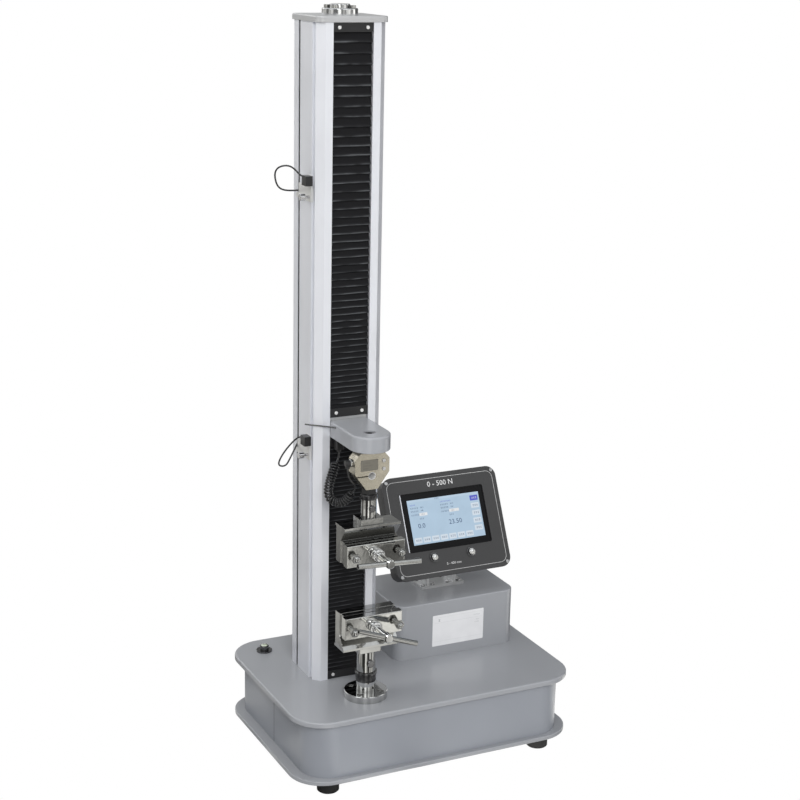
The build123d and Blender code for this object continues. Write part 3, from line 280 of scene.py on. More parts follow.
# Each roughness stays on one side of 0.274, where the denoiser changes its guide and draws outlines
SURFACES = {
    "paint": dict(
        colour=(0.30, 0.31, 0.33), rough=0.33, fine=260, slow=5, bump=0.02, vary=0.04, rough_vary=0.05,
        edge=0.8, coat=0.3,
    ),
    "skirt": dict(
        colour=(0.26, 0.275, 0.305), rough=0.4, fine=260, slow=5, bump=0.03, vary=0.06, edge=0.5, coat=0.1,
    ),
    "cap": dict(colour=(0.50, 0.505, 0.515), rough=0.34, metallic=0.5, vary=0.03, edge=0.5),
    "side_strip": dict(
        colour=(0.74, 0.73, 0.70), rough=0.42, metallic=0.3, stretch=BRUSHED_UP, edge=0.5,
    ),
    "anodised": dict(
        colour=(0.76, 0.775, 0.82), rough=0.36, metallic=0.45, stretch=BRUSHED_UP, vary=0.03, edge=0.5,
    ),
    "chrome": dict(
        colour=(0.62, 0.62, 0.60), rough=0.07, metallic=1.0, fine=500, bump=0.03, vary=0.08,
        rough_vary=0.04, edge=0.5, ripple=0.12, shade=0.75,
    ),
    "grip_body": dict(
        colour=(0.44, 0.44, 0.43), rough=0.09, metallic=1.0, fine=500, bump=0.03, vary=0.08,
        rough_vary=0.03, edge=0.5, ripple=0.12, shade=0.6,
    ),
    "mirror": dict(
        colour=(0.72, 0.72, 0.71), rough=0.06, metallic=1.0, fine=400, bump=0.01, vary=0.03,
        rough_vary=0.02, edge=0.5, shade=0.8,
    ),
    "steel": dict(
        colour=(0.62, 0.62, 0.63), rough=0.21, metallic=1.0, stretch=BRUSHED_ACROSS, edge=0.3,
    ),
    "bright": dict(colour=(0.86, 0.86, 0.85), rough=0.34, metallic=0.6, fine=600, bump=0.04, edge=0.3),
    "zinc": dict(
        colour=(0.58, 0.585, 0.59), rough=0.33, metallic=0.7, fine=420, slow=24, rough_vary=0.05, edge=0.5,
    ),
    "satin": dict(colour=(0.74, 0.745, 0.755), rough=0.15, metallic=0.95, fine=500, bump=0.03),
    "dark_steel": dict(
        colour=(0.16, 0.16, 0.165), rough=0.2, metallic=1.0, fine=500, bump=0.04, wear=0.3,
    ),
    "nickel": dict(
        colour=(0.44, 0.41, 0.34), rough=0.2, metallic=0.9, fine=600, slow=32, vary=0.1, rough_vary=0.07,
        edge=0.6, ripple=0.05, ripple_scale=40,
    ),
    "black_metal": dict(colour=(0.02, 0.02, 0.021), rough=0.21, metallic=0.4, wear=0.35),
    "switch": dict(colour=(0.72, 0.72, 0.71), rough=0.34, metallic=0.5, edge=0.3),
    "black_plastic": dict(colour=(0.018, 0.018, 0.019), rough=0.38, fine=1500, bump=0.12),
    "rubber": dict(colour=(0.018, 0.018, 0.018), rough=0.5, fine=1200, bump=0.2, edge=0.6),
    "cord": dict(colour=(0.006, 0.006, 0.007), rough=0.16, bump=0.02, edge=0, specular=1.0),
    "panel": dict(
        colour=(0.042, 0.042, 0.043), rough=0.45, fine=1600, bump=0.18, vary=0.06, edge=0.5, specular=0.42,
    ),
    "case": dict(colour=(0.05, 0.05, 0.052), rough=0.5, fine=1600, bump=0.2, edge=0.8),
    "strip": dict(colour=(0.012, 0.012, 0.013), rough=0.35, fine=800, edge=0.3),
    "motor": dict(colour=(0.03, 0.03, 0.033), rough=0.4, bump=0.1, edge=0.8),
    "bezel": dict(
        colour=(0.003, 0.003, 0.0035), rough=0.2, fine=300, bump=0.01, vary=0.1, rough_vary=0.02,
        edge=0.5, specular=0.22,
    ),
}
M = {name: surface(name, **values) for name, values in SURFACES.items()}


def recolour(m, mask, colour):
    """Lays another colour over a finish where the mask is 1."""
    base = m.node_tree.nodes["Principled BSDF"].inputs["Base Color"]
    feed(m.node_tree, base, mix(m.node_tree, mask, base.links[0].from_socket, colour))


def blacken_switch(m, outer_face=-191.05 * MM):
    """The aluminium bracket carries a black plastic switch body on its outer side."""
    t = m.node_tree
    body = calc(t, "LESS_THAN", axes(t, object_place(t))["X"], outer_face)
    recolour(m, body, (0.012, 0.012, 0.013, 1))
    feed_all(t, t.nodes["Principled BSDF"], Metallic=spread(t, body, 0.5, 0.0, 0, 1))


def blacken_slot(m, slot_y=55.5 * MM, half_slot=7.8 * MM, half_floor=62.5 * MM):
    """The slot down each side of the post is black where it lies deeper than the side face."""
    t = m.node_tree
    place = axes(t, object_place(t))
    masks = []
    for axis, middle, half in (("X", POST_X * MM, half_floor), ("Y", slot_y, half_slot)):
        off = calc(t, "ABSOLUTE", calc(t, "SUBTRACT", place[axis], middle))
        masks.append(calc(t, "LESS_THAN", off, half))
    recolour(m, calc(t, "MULTIPLY", *masks), (0.004, 0.004, 0.004, 1))


blacken_switch(M["switch"])
blacken_slot(M["anodised"])


def fabric():
    """Black coated bellows cloth, with a painted highlight making the folds that stand out greyer."""
    m, t, p = principled("bellows_cloth")
    fold = add(t, "ShaderNodeAttribute", attribute_name="fold").outputs["Fac"]
    grain = use(t, GRAIN, Fine=260, Stretch=(0.25, 1, 1), Slow=25)
    # Painted highlight: the ridges of the folds turn greyer, broken up by the blotch
    ridge_highlight = calc(t, "MULTIPLY", fold, spread(t, grain["Blotch"], 0.12, 1.0, 0.38, 0.6), True)
    feed_all(
        t, p, Base_Color=mix(t, ridge_highlight, (0.004, 0.004, 0.005, 1), (0.085, 0.09, 0.095, 1)),
        Roughness=spread(t, grain["Blotch"], 0.42, 0.6), Specular_IOR_Level=0.22,
        Normal=bumped(t, grain["Height"], 0.15, GRAIN_DEPTH),
    )
    return m


def tinted(name, rough, glow=0.0, shade=0.0):
    """Colour from the mesh's own tint attribute; shade darkens what light falls on, not the glow."""
    m, t, p = principled(name)
    tint = add(t, "ShaderNodeAttribute", attribute_name="tint").outputs["Color"]
    even = mix(t, spread(t, use(t, GRAIN, Slow=40)["Blotch"], 0.0, 0.06), tint, BLACK)
    feed_all(t, p, Base_Color=mix(t, shade, even, BLACK), Roughness=rough)
    if glow:
        feed_all(t, p, Emission_Color=even, Emission_Strength=glow)
    return m


def liquid():
    """Pale green fluid under the round window of the spirit level."""
    m, t, p = principled("level_fluid")
    facing = add(t, "ShaderNodeLayerWeight", Blend=0.4).outputs["Facing"]
    green = mix(t, facing, (0.62, 0.68, 0.56, 1), (0.16, 0.2, 0.14, 1))
    feed_all(t, p, Base_Color=green, Roughness=0.08, Coat_Weight=1.0)
    return m


M["cloth"] = fabric()
M["screen"] = tinted("screen", 0.3, glow=0.68, shade=0.85)
M["print"] = tinted("print", 0.45)
M["fluid"] = liquid()

FINISHES = {
    "rubber": ("feet", "drive_belt"),
    "paint": ("base_bottom_plate", "base_top_plate", "crosshead_arm", "console_box"),
    "zinc": ("panel_bracket", "carriage"),
    "skirt": ("base_skirt",),
    "anodised": ("column_left", "column_right"),
    "cap": ("column_cap",),
    "side_strip": ("column_back",),
    "black_plastic": ("power_inlet", "rocker_frame", "power_rocker", "cord_fittings"),
    "steel": (
        "guide_rods", "ball_screw", "ball_nut", "motor_pulley", "pivot_bolt", "thumb_upper", "thumb_lower",
    ),
    "motor": ("drive_motor",),
    "strip": ("strips_fixed", "strips_moving"),
    "nickel": ("load_cell",),
    "black_metal": ("cell_stud", "upper_lock_ring", "lower_lock_ring"),
    "chrome": ("upper_jaw", "lower_jaw"),
    "grip_body": ("upper_grip_body", "lower_grip_body", "upper_tbar", "lower_tbar"),
    "mirror": ("lower_flange", "upper_screw", "lower_screw", "cap_screws"),
    "satin": ("top_hub",),
    "dark_steel": (
        "upper_pin", "lower_pin", "bubble_level", "start_button", "stop_button", "crosshead_fasteners",
    ),
    "panel": ("panel_front",),
    "case": ("panel_housing",),
    "bezel": ("panel_glass",),
    "switch": ("limit_upper", "limit_lower"),
}


def finish_nodes():
    """Gives each CAD node its material."""
    for material, names in FINISHES.items():
        for name in names:
            slots = nodes[name].data.materials
            slots.clear()
            slots.append(M[material])


finish_nodes()


# Mesh helpers
def mesh_object(name, verts, faces, material, smooth=True, **attributes):
    """A mesh in the row frame; attributes are per-vertex values or colours."""
    me = bpy.data.meshes.new(name)
    me.from_pydata(np.asarray(verts).tolist(), [], [list(map(int, f)) for f in faces])
    me.polygons.foreach_set("use_smooth", np.full(len(me.polygons), smooth))
    for label, values in attributes.items():
        values = np.asarray(values, np.float32)
        if values.ndim == 1:
            me.attributes.new(label, "FLOAT", "POINT").data.foreach_set("value", values)
        else:
            me.attributes.new(label, "FLOAT_COLOR", "POINT").data.foreach_set("color", values.ravel())
    me.materials.append(M[material])
    me.update()
    o = bpy.data.objects.new(name, me)
    bpy.context.scene.collection.objects.link(o)
    return o


def points_of(mesh):
    """A mesh's points as an array."""
    co = np.empty(3 * len(mesh.vertices), np.float32)
    mesh.vertices.foreach_get("co", co)
    return co.reshape(-1, 3).astype(float)


def grid_faces(rows, cols, close=False):
    """Quads between rows and columns of points; close joins the last column to the first."""
    r = np.arange(rows - 1)[:, None] * cols
    c = np.arange(cols if close else cols - 1)[None, :]
    n = (c + 1) % cols
    quads = np.stack([r + c, r + n, r + cols + n, r + cols + c], -1)
    return quads.reshape(-1, 4)


def axes_of(direction):
    """A direction's unit vector, and two unit vectors across it."""
    d = np.asarray(direction, float)
    d = d / np.linalg.norm(d)
    a = np.cross(d, (0, 0, 1.0) if abs(d[2]) < 0.9 else (1.0, 0, 0))
    a = a / np.linalg.norm(a)
    return d, a, np.cross(d, a)


def turned(profile, direction, around):
    """A profile of (radius r, height h) in mm about direction d: p = h d + r (cos a u + sin a v)."""
    d, u, v = axes_of(direction)
    r, h = np.array(profile, float).T * MM
    a = np.linspace(0, 2 * np.pi, around, endpoint=False)
    ring = np.cos(a)[:, None] * u + np.sin(a)[:, None] * v
    points = (h[:, None, None] * d + r[:, None, None] * ring).reshape(-1, 3)
    return points, grid_faces(len(r), around, True)


def lathe(name, base, direction, profile, material, body):
    """One turned piece. A profile runs up its outside, so that its faces point outwards."""
    points, quads = turned(profile, direction, 40)
    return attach(mesh_object(name, base + points, quads, material), body)


SCREW = np.array([
    (3.9, 0), (3.9, 1.2), (3.75, 1.8), (3.2, 2.2), (1.75, 2.2), (1.75, 0.8), (1.6, 2.1), (0, 2.1),
])


def screws(name, places, direction, body, size=1.0, material="steel"):
    """Round screw heads: SCREW turned at each place, with a fine groove round the middle."""
    one, quads = turned(SCREW * size, direction, 24)
    verts = np.concatenate([one + place for place in places])
    faces = np.concatenate([quads + k * len(one) for k in range(len(places))])
    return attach(mesh_object(name, verts, faces, material, smooth=False), body)


# Bellows: pleated cloth between the fixed and moving strips
CLOTH_HALF = 35.9
CLOTH_FRONT, CLOTH_END = -24.3, -22.4
# One fold from mark to mark: share of the pitch, depth behind the front, and how much painted highlight it
# gets
FOLD = np.array([
    (0, 0, 1.0), (0.06, -0.15, 1.0), (0.14, 0.35, 0.15), (0.3, 1.15, 0), (0.6, 2.3, 0), (0.86, 3.3, 0),
    (0.95, 2.0, 0.2),
])


def bellows(name, marks, node):
    """Pleats across the post: each fold comes forward to an edge and runs back to the next.

    z = mark + share of the pitch + sag, y = front + depth + a small wave, with the sag gone at
    both side edges as 1 - x^4, for x from -1 to 1 across the cloth.
    """
    share, depth, highlight_share = FOLD.T
    folds = len(marks) - 1
    z = np.append(marks[:-1, None] + np.diff(marks)[:, None] * share, marks[-1])
    y = np.append(np.tile(CLOTH_FRONT + depth, folds), CLOTH_END)
    x = np.linspace(-1, 1, 17)
    row = np.arange(len(z))[:, None]
    wave = 0.12 * np.sin(1.7 * row + 5 * x)
    sag = 0.35 * np.sin(2.3 * (row // len(FOLD)) + 3.1 * x) * (1 - x**4)
    sag[[0, -1]] = 0
    across = np.broadcast_to(POST_X + CLOTH_HALF * x, wave.shape)
    verts = np.stack([across, y[:, None] + wave, z[:, None] + sag], -1).reshape(-1, 3) * MM
    # Painted highlight along the ridges of the folds, carried in the fold attribute
    ridge_highlight = np.repeat(np.append(np.tile(highlight_share, folds), 0), len(x))
    o = mesh_object(name, verts, grid_faces(len(z), len(x)), "cloth", smooth=False, fold=ridge_highlight)
    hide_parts(node)
    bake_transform(o)


def growing(low, high, near, far):
    """Marks from low to high whose pitch grows evenly from near to far."""
    ratio = far / near
    count = round(math.log(ratio) * (high - low) / (far - near))
    return low + (high - low) * (ratio ** (np.arange(count + 1) / count) - 1) / (ratio - 1)


bellows("bellows_cloth_upper", growing(664, 1320, 9.5, 19.0), "bellows_upper")
bellows("bellows_cloth_lower", np.linspace(161, 598, 56), "bellows_lower")

for strips, half, heights, body in (
    ("fixed", 26, (1325.5, 155.5), "frame"),
    ("moving", 25, (658, 604), "crosshead"),
):
    places = [at(POST_X + side * half, -26.2, z) for side in (-1, 1) for z in heights]
    screws("strip_screws_" + strips, places, FRONT, body, 0.8, "bright")


# Cords
def nurbs(name, points, bevel=0.0, material=None):
    """A NURBS curve through given control points, in metres."""
    c = bpy.data.curves.new(name, "CURVE")
    c.dimensions = "3D"
    c.resolution_u = 6
    s = c.splines.new("NURBS")
    s.points.add(len(points) - 1)
    s.points.foreach_set("co", np.c_[points, np.ones(len(points))].ravel())
    s.order_u = 3
    s.use_endpoint_u = True
    c.bevel_depth = bevel
    c.bevel_resolution = 5
    if material:
        c.materials.append(M[material])
    o = bpy.data.objects.new(name, c)
    bpy.context.scene.collection.objects.link(o)
    return o


def line_along(points):
    """The smooth line that a NURBS curve with these control points follows, as points in order."""
    route = nurbs("route", points)
    me = bpy.data.meshes.new_from_object(route)
    line = points_of(me)
    bpy.data.meshes.remove(me)
    bpy.data.objects.remove(route)
    return line


def free_cord(name, points, diameter, body, replaced):
    """Makes and measures one cord, whose control points are given in metres."""
    length = float(np.linalg.norm(np.diff(line_along(points), axis=0), axis=1).sum())
    o = nurbs(name, points, diameter / 2, "cord")
    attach(o, body)
    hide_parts(*replaced)


UPPER_CABLE = [
    (-197.5, 6, 1073), (-197.5, 23, 1073), (-216, 29, 1094), (-240, 42, 1086), (-234, 47, 1054),
    (-212, 54, 1043), (-184.5, 55.5, 1044.5),
]
LOWER_CABLE = [
    (-197.5, 6, 609), (-197.5, 22, 609), (-214, 29, 592), (-231, 30, 571), (-236, 34, 553),
    (-218, 41, 547), (-207, 46, 559), (-184.5, 55.5, 592),
]
free_cord("cable_loop_upper", np.array(UPPER_CABLE) * MM, 0.003, "upper_limit", ["cable_upper"])
free_cord("cable_loop_lower", np.array(LOWER_CABLE) * MM, 0.003, "lower_limit", ["cable_lower"])

# Curly cord: a lead from the gland, the coil along its own route, and a lead up into the plug
LOW_LEAD = [(-147.5, -36.5, 589.8), (-147.5, -36.5, 579.8)]
COIL_ROUTE = [(-154.4, -41.3, 569.9), (-171, -53, 546), (-182, -66, 515), (-160, -86, 507), (-150, -100, 531)]
TOP_LEAD = [(-144.2, -108.1, 544.8), (-165, -114, 566), (-165, -114, 583)]
COIL_TURNS, STEPS_A_TURN, COIL_RADIUS = 23, 14, 7.4 * MM


def curly():
    """p(s) = c(s) + r(s) (cos(2 pi n s) u(s) + sin(2 pi n s) v(s)), with u, v carried along the route.

    The radius r grows from nothing over the first part of a turn and shrinks again over the last.
    """
    c = line_along(np.array(COIL_ROUTE) * MM)
    arc = np.r_[0, np.cumsum(np.linalg.norm(np.diff(c, axis=0), axis=1))]
    s = np.linspace(0, 1, COIL_TURNS * STEPS_A_TURN + 1)
    p = np.stack([np.interp(s * arc[-1], arc, c[:, k]) for k in range(3)], 1)
    for _ in range(6):
        p[1:-1] = (p[:-2] + 2 * p[1:-1] + p[2:]) / 4
    tangent = np.gradient(p, axis=0)
    tangent /= np.linalg.norm(tangent, axis=1)[:, None]
    u = np.zeros_like(p)
    u[0] = axes_of(tangent[0])[1]
    for k in range(1, len(p)):
        w = u[k - 1] - tangent[k] * (u[k - 1] @ tangent[k])
        u[k] = w / np.linalg.norm(w)
    v = np.cross(tangent, u)
    ends = np.clip(np.minimum(s, 1 - s) * COIL_TURNS * 1.6, 0, 1)
    r = COIL_RADIUS * ends * ends * (3 - 2 * ends)
    a = 2 * np.pi * COIL_TURNS * s
    return p + r[:, None] * (np.cos(a)[:, None] * u + np.sin(a)[:, None] * v)


free_cord(
    "curly_cord",
    np.concatenate([np.array(LOW_LEAD) * MM, curly(), np.array(TOP_LEAD) * MM]),
    0.0036,
    "crosshead",
    ["cord_low_lead", "cord_coil", "cord_top_lead"],
)


# Flat patches, lines and words
def plane(origin, across, up):
    """Places (u, v, d) on a plane, all in mm: p = origin + u across + v up + d (across x up)."""
    origin, across, up = (np.array(vector, float) for vector in (origin, across, up))

    def place(u, v, d=0.0):
        u, v, d = (np.asarray(value, float)[..., None] for value in (u, v, d))
        return (origin + u * across + v * up + d * np.cross(across, up)) * MM

    return place


def rounded(u0, v0, u1, v1, r, steps):
    """A rectangle with round corners, anticlockwise: corner centre + r (cos a, sin a)."""
    a = np.radians(np.array([-90, 0, 90, 180])[:, None] + np.linspace(0, 90, steps))
    u = np.array([u1 - r, u1 - r, u0 + r, u0 + r])[:, None] + r * np.cos(a)
    v = np.array([v0 + r, v1 - r, v1 - r, v0 + r])[:, None] + r * np.sin(a)
    return np.stack([u.ravel(), v.ravel()], 1)


class Sheet:
    """Flat patches and words on a plane, gathered into one mesh with a tint per vertex."""

    def __init__(self, place=None):
        self.place, self.count = place, 0
        self.verts, self.faces, self.tints = [], [], []

    def put(self, outline, depth, faces, colour):
        """Adds points (u, v) at one depth, the faces on them, and their colour."""
        u, v = np.asarray(outline, float).T
        self.verts.append(self.place(u, v, depth))
        self.tints.append(np.tile((*colour, 1), (len(u), 1)))
        self.faces += [[self.count + i for i in face] for face in faces]
        self.count += len(u)

    def rect(self, u0, v0, u1, v1, depth, colour, r=0.0):
        """A rectangle, with round corners where r is given."""
        outline = rounded(u0, v0, u1, v1, r, 6) if r else [(u0, v0), (u1, v0), (u1, v1), (u0, v1)]
        self.put(outline, depth, [range(len(outline))], colour)

    def frame(self, u0, v0, u1, v1, r, width, depth, colour):
        """A rounded outline of one width: the quads between two outlines."""
        outer = rounded(u0, v0, u1, v1, r, 9)
        inner = rounded(u0 + width, v0 + width, u1 - width, v1 - width, r - width, 9)
        self.put(np.concatenate([outer, inner]), depth, grid_faces(2, len(outer), True), colour)

    def words(self, text, u, v, height, depth, colour, align="LEFT"):
        """A word set in the built-in face, as flat mesh."""
        c = bpy.data.curves.new("words", "FONT")
        c.body, c.size, c.align_x, c.align_y = text, height * 1.35, align, "CENTER"
        c.resolution_u = 2
        o = bpy.data.objects.new("words", c)
        bpy.context.scene.collection.objects.link(o)
        bpy.context.view_layer.update()
        me = bpy.data.meshes.new_from_object(o.evaluated_get(bpy.context.evaluated_depsgraph_get()))
        self.put(points_of(me)[:, :2] + (u, v), depth, [list(f.vertices) for f in me.polygons], colour)
        bpy.data.objects.remove(o)
        bpy.data.meshes.remove(me)

    def marks(self, u, v, count, size, depth, colour):
        """A row of small square marks, each of three strokes, in place of a printed word."""
        for a in u + np.arange(count) * size * 1.25:
            self.rect(a, v + size * 0.28, a + size, v + size * 0.44, depth, colour)
            self.rect(a + size * 0.42, v - size * 0.5, a + size * 0.58, v + size * 0.5, depth, colour)
            self.rect(a + size * 0.1, v - size * 0.42, a + size * 0.9, v - size * 0.26, depth, colour)

    def make(self, name, material, body):
        verts, tints = np.concatenate(self.verts), np.concatenate(self.tints)
        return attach(mesh_object(name, verts, self.faces, material, smooth=False, tint=tints), body)


# Panel details, in the panel's own plane
TILT = math.radians(26)
on_panel = plane((116.5, 46.0, 401.0), (1, 0, 0), (0, math.sin(TILT), math.cos(TILT)))
PANEL_OUT = (0, -math.cos(TILT), math.sin(TILT))
PAGE, PAGE_HEAD, KEY, FIELD = (0.50, 0.66, 0.82), (0.56, 0.71, 0.86), (0.74, 0.83, 0.92), (0.88, 0.9, 0.92)
INK, BLUE = (0.05, 0.09, 0.2), (0.10, 0.12, 0.62)


def screen():
    """The display's page: field names as plain marks, two large readings, and rows of keys."""
    s = Sheet(on_panel)
    page = 0.55
    field, ink = page + 0.03, page + 0.05
    s.rect(-77, -43, 77, 43, page, PAGE)
    s.rect(-77, 38.5, 77, 43, page + 0.02, PAGE_HEAD)
    s.marks(-18, 40.6, 3, 2.6, ink, INK)
    for u, width, heading in ((-72, 34, 4), (-8, 38, 8)):
        s.marks(u, 33, heading, 2.4, ink, BLUE)
        for v, reading in ((27, "50.0"), (21, "100"), (14, "12.5")):
            s.marks(u, v, 5, 2.7, ink, INK)
            s.words(reading, u + 21, v, 3.0, ink, INK)
        s.rect(u + 17, 11.2, u + width, 16.8, field, FIELD)
        s.marks(u + 16, 6, 3, 2.6, ink, INK)
    s.words("0.0", -62, -8, 9.5, ink, INK)
    s.words("23.50", 4, -8, 9.5, ink, INK)
    for k, v in enumerate(32 - 14.5 * np.arange(5)):
        s.rect(57, v - 5, 74, v + 5, field, KEY if k else BLUE, 1.0)
        s.marks(60.5, v, 3, 3.2, ink, INK if k else FIELD)
    for u in -74 + 18.4 * np.arange(7):
        s.rect(u, -40, u + 15.6, -29.5, field, KEY, 1.0)
        s.marks(u + 2.6, -34.8, 3, 3.2, ink, INK)
    s.make("display_page", "screen", "panel")


def panel_print():
    """The thin pale line round the panel, with plain load and travel ranges."""
    s = Sheet(on_panel)
    s.frame(-114, -99, 114, 81, 14, 0.8, 0.05, (0.52, 0.52, 0.52))
    s.words("0 - 500 N", 0, 69, 10.5, 0.05, (0.74, 0.74, 0.74), "CENTER")
    s.words("0 - 400 mm", 0, -86, 5.0, 0.05, (0.62, 0.62, 0.62), "CENTER")
    s.make("panel_line", "print", "panel")


def rim(outer=(88.6, 56.1), inner=(86.2, 53.7), r=3.5, height=1.3, ease=0.4):
    """A rounded rim round the display: one outline at five heights, up the outside and down inside."""
    loops = (
        (outer, 0, r, 0.0),
        (outer, 0, r, height - ease),
        (outer, ease, r - ease, height),
        (inner, 0, r - 1, height),
        (inner, 0, r - 1, 0.3),
    )
    rows = []
    for (half_w, half_h), inset, corner, d in loops:
        w, h = half_w - inset, half_h - inset
        rows.append(on_panel(*rounded(-w, -h, w, h, corner, 7).T, d))
    faces = grid_faces(len(rows), len(rows[0]), True)
    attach(mesh_object("display_rim", np.concatenate(rows), faces, "bezel", smooth=False), "panel")


def rim_edge_highlight(left=-90.4, right=-88.7, low=-55, high=55, height=1.5):
    """A painted highlight up the display's left edge: a bright strip, a square profile carried straight up.
    """
    u, d = np.array([(left, 0), (left, height), (right, height), (right, 0)]).T
    verts = np.concatenate([on_panel(u, v, d) for v in (low, high)])
    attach(mesh_object("rim_edge_highlight", verts, grid_faces(2, 4, True), "anodised", smooth=False), "panel")


BUTTON_DOME = [(6.3, 0.05), (5.6, 0.9), (4.2, 1.5), (2.4, 1.9), (0, 2.05)]
BUTTON_RING = [(9.4, 0.1), (9.2, 0.7), (8.2, 1.0), (7.2, 0.5), (6.9, 0.1)]

screen()
panel_print()
rim()
rim_edge_highlight()
for u, body in ((-40, "start_button"), (40, "stop_button")):
    lathe(body + "_dome", on_panel(u, -70, 4.5), PANEL_OUT, BUTTON_DOME, "mirror", body)
    lathe(body + "_ring", on_panel(u, -70, 2.0), PANEL_OUT, BUTTON_RING, "dark_steel", "panel")
screws("panel_screws", [on_panel(u, v) for u in (-113, 113) for v in (81, -99)], PANEL_OUT, "panel", 0.9)


# Base and console details
FOOT_TOP = 262


def seams():
    """A thin dark line up each side, where the skirt's two halves meet."""
    s = Sheet()
    for side in (-1, 1):
        s.place = plane((side * 260.6, -10.5, 0), (0, side, 0), UP)
        s.rect(-1.1, 36, 1.1, 135, 0, (0.07, 0.075, 0.085))
    s.make("skirt_seams", "print", "frame")


def label():
    """A plain pale label on the console's front, with thin rules and small marks."""
    s = Sheet(plane((119, -10, 197.8), (1, 0, 0), UP))
    s.rect(-55, -31.5, 55, 31.5, 0.12, (0.77, 0.775, 0.79), 1.5)
    for v in (26.5, 15.5, -22.5):
        s.rect(-51, v - 0.25, 51, v + 0.25, 0.16, (0.66, 0.67, 0.68))
    s.marks(-43, 20.5, 1, 4.4, 0.18, (0.25, 0.26, 0.28))
    for u, v, count in ((33, 20.5, 6), (39, 10.5, 3), (36, 5.5, 4)):
        s.marks(u, v, count, 1.9, 0.18, (0.4, 0.41, 0.43))
    s.make("console_label", "print", "frame")


def foot_slot_shade():
    """Painted shade at the ends of the slots in the foot of the panel's bracket: dark patches."""
    s = Sheet(plane((0, 0, FOOT_TOP), (1, 0, 0), (0, 1, 0)))
    for x in (80, 101, 132, 153):
        for y in (60.5, 90.5):
            # Each dark patch is painted shade in a slot
            s.rect(x - 2.2, y, x + 2.2, y + 10.2, 0.06, (0.02, 0.02, 0.02), 2.1)
    s.make("foot_slot_shade", "print", "frame")


seams()
label()
screws("bracket_screws", [at(x, 65.6, FOOT_TOP) for x in (79.5, 100, 133, 158.5)], UP, "frame", 1.1)
foot_slot_shade()

# Bright sleeves on the clamping screws
SLEEVE = [(6.2, 0.05), (10.8, 0.05), (11.15, 0.6), (11.15, 11.5), (10.6, 12.2), (6.2, 12.2)]
for name, front, z in (("upper_screw", -149.1, 432), ("lower_screw", -145.1, 294)):
    lathe(name + "_sleeve", at(POST_X, front, z), FRONT, SLEEVE, "satin", name)

# Spirit level window
LEVEL = at(-220, 141, 159)
WINDOW = [(6.9, -1.5), (6.8, -0.2), (5.5, 0.5), (3.0, 1.1), (0, 1.3)]
CIRCLE = [(2.6, 1.18), (2.6, 1.24), (2.3, 1.22)]
lathe("level_window", LEVEL, UP, WINDOW, "fluid", "frame")
lathe("level_circle", LEVEL, UP, CIRCLE, "black_plastic", "frame")

# Load cell cover, eye, plug collar and screws; the eye's sleeve is bright as a painted ring highlight round
# the eye
CELL_FRONT = -127
EYE = [(6.9, 25.8), (6.2, 26.0), (6.0, 25.6), (6.0, 0.4), (6.2, 0.0), (6.9, 0.2)]
COLLAR = [
    (5.6, 0.3), (6.8, 0.3), (7.2, 0.9), (6.5, 1.5), (7.2, 2.1), (6.5, 2.7), (7.2, 3.3), (6.8, 4.0),
    (5.6, 4.4),
]


def cover():
    """The dark plate on the load cell's front, with a raised face and rows of small marks."""
    s = Sheet(plane((POST_X, CELL_FRONT, 586), (1, 0, 0), UP))
    s.rect(-22, -8, 11, 12, 0.25, (0.12, 0.11, 0.09), 1.0)
    s.rect(-21.6, -7.6, 10.6, 11.6, 0.32, (0.155, 0.145, 0.12), 0.8)
    for v, count in ((6.5, 5), (1.5, 7), (-3.5, 4)):
        s.marks(-18, v, count, 2.2, 0.36, (0.09, 0.085, 0.07))
    s.make("cell_label", "print", "crosshead")


cover()
# A sleeve in the eye, its bright colour a painted ring highlight round the through hole
lathe("cell_eye_highlight_sleeve", at(POST_X, CELL_FRONT, 568), BACK, EYE, "bright", "crosshead")
lathe("plug_collar", at(-157, -114, 592), LEFT, COLLAR, "mirror", "crosshead")
screws("cell_screws", [at(POST_X + 22, CELL_FRONT, z) for z in (579, 594)], FRONT, "crosshead", 0.9)


# Floor, backdrop and light
WHITE = (1, 1, 1, 1)
# Upright panels of light: axis, angles in degrees where full and where gone, and strength
LIGHT_PANELS = (
    ((-0.43, -0.90, 0), 7, 15, 1.2),
    ((0.42, -0.90, 0), 14, 34, 0.62),
    ((0.97, -0.22, 0), 7, 16, 1.1),
    ((-0.98, -0.15, 0), 10, 22, 0.7),
    ((-0.43, 0.90, 0), 18, 42, 0.42),
    ((0.15, 0.99, 0), 6, 20, 0.5),
)


def studio_group():
    """What polished metal sees round the machine: dim walls with a few soft upright panels of light."""
    t, given, out = group("studio", [("Direction", VECTOR, (0.0, 0.0, 1.0))], [("Color", COLOUR)])
    way = given["Direction"]
    height = axes(t, way)["Z"]
    level = vector_calc(t, "NORMALIZE", vector_calc(t, "MULTIPLY", way, (1, 1, 0)))
    total = spread(t, height, 0.08, 0.4, 0.0, 1.0)
    for axis, full, gone, strength in LIGHT_PANELS:
        dot = vector_calc(t, "DOT_PRODUCT", level, axis)
        start, stop = math.cos(math.radians(gone)), math.cos(math.radians(full))
        total = calc(t, "ADD", total, spread(t, dot, 0, strength, start, stop))
    total = calc(t, "MULTIPLY", total, spread(t, noise(t, way, 3.2, 3.0), 0.3, 1.7, 0.38, 0.62))
    tint = mix(t, spread(t, height, 0, 1, 0.0, 0.6), (1.0, 0.99, 0.95, 1), (0.96, 0.985, 1.0, 1))
    feed(t, out["Color"], scaled(t, tint, total))
    return t


STUDIO = studio_group()


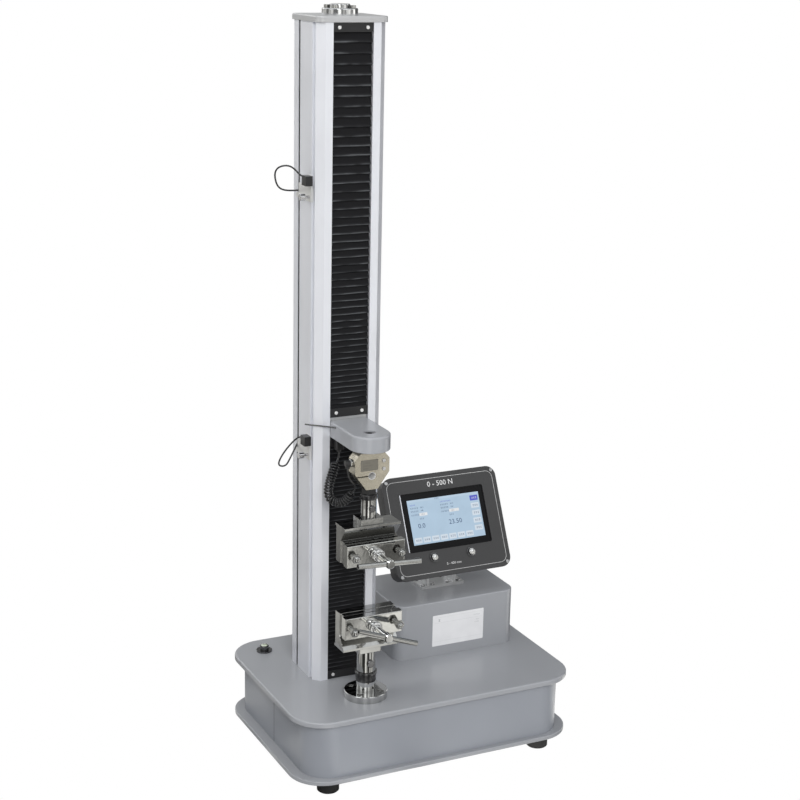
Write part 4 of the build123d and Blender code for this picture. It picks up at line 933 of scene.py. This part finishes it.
def stage():
    """A white floor for the camera, which metal sees as the dim studio and soft light bounces off."""
    me = bpy.data.meshes.new("floor")
    me.from_pydata([(-9, -9, 0), (9, -9, 0), (9, 9, 0), (-9, 9, 0)], [], [(0, 1, 2, 3)])
    m, t, p = principled("floor_white")
    where = object_place(t)
    path = add(t, "ShaderNodeLightPath").outputs
    patches = spread(t, add(t, "ShaderNodeTexNoise", Scale=3.0).outputs["Fac"], 0, 1)
    feed_all(t, p, Base_Color=mix(t, patches, (0.66, 0.66, 0.66, 1), (0.7, 0.7, 0.7, 1)), Roughness=0.9)
    broken = spread(t, noise(t, where, 1.6, 1.0), 0.55, 1.5, 0.4, 0.6)
    seen = scaled(t, use(t, STUDIO, Direction=where)["Color"], broken)
    glow = add(t, "ShaderNodeEmission", Strength=1.0, Color=mix(t, path["Is Camera Ray"], seen, WHITE))
    mixer = t.nodes.new("ShaderNodeMixShader")
    feed(t, mixer.inputs[0], calc(t, "MAXIMUM", path["Is Camera Ray"], path["Is Glossy Ray"]))
    feed(t, mixer.inputs[1], p.outputs[0])
    feed(t, mixer.inputs[2], glow.outputs[0])
    feed(t, t.nodes["Material Output"].inputs["Surface"], mixer.outputs[0])
    me.materials.append(m)
    o = bpy.data.objects.new("floor", me)
    bpy.context.scene.collection.objects.link(o)


def world():
    """White for the camera, the studio for reflections, and for the rest a soft fill, less from low left."""
    w = bpy.data.worlds.new("studio")
    bpy.context.scene.world = w
    w.use_nodes = True
    t = w.node_tree
    way = add(t, "ShaderNodeTexCoord").outputs["Generated"]
    path = add(t, "ShaderNodeLightPath").outputs
    low_left = spread(t, vector_calc(t, "DOT_PRODUCT", way, (-0.80, 0.45, -0.40)), 0, 1, -0.2, 0.8)
    fill = mix(t, low_left, (0.39, 0.395, 0.41, 1), (0.07, 0.075, 0.09, 1))
    lit = mix(t, path["Is Glossy Ray"], fill, use(t, STUDIO, Direction=way)["Color"])
    seen = mix(t, path["Is Camera Ray"], lit, WHITE)
    feed_all(t, t.nodes["Background"], Color=seen, Strength=1.0)


def area(name, place, to, size, power, colour=(1, 1, 1), glossy=False):
    """A rectangular lamp at a place, aimed at a point, in metres and watts."""
    d = bpy.data.lights.new(name, "AREA")
    d.shape = "RECTANGLE"
    d.size, d.size_y, d.energy, d.color = *size, power, colour
    o = bpy.data.objects.new(name, d)
    o.location = place
    o.rotation_euler = (Vector(to) - Vector(place)).to_track_quat("-Z", "Y").to_euler()
    o.visible_glossy = glossy
    bpy.context.scene.collection.objects.link(o)


stage()
world()
area("key", (-1.1, -3.5, 2.2), (0, 0, 0.5), (1.6, 1.6), 108, (1, 0.995, 0.985))
area("top", (0.1, -0.5, 3.4), (0, 0, 0), (1.8, 1.8), 22)
area("left", (-1.5, 0.1, 2.0), (-0.19, 0.03, 0.7), (0.6, 1.0), 14, (1, 0.98, 0.94))
area("rim", (-1.7, 5.4, 3.0), (0, 0, 0.3), (1.6, 1.0), 11, glossy=True)
area("glint", (-1.9, -2.2, 2.9), (-0.1, 0, 0.6), (0.5, 0.5), 9, glossy=True)
bpy.context.scene.view_settings.view_transform = "Standard"
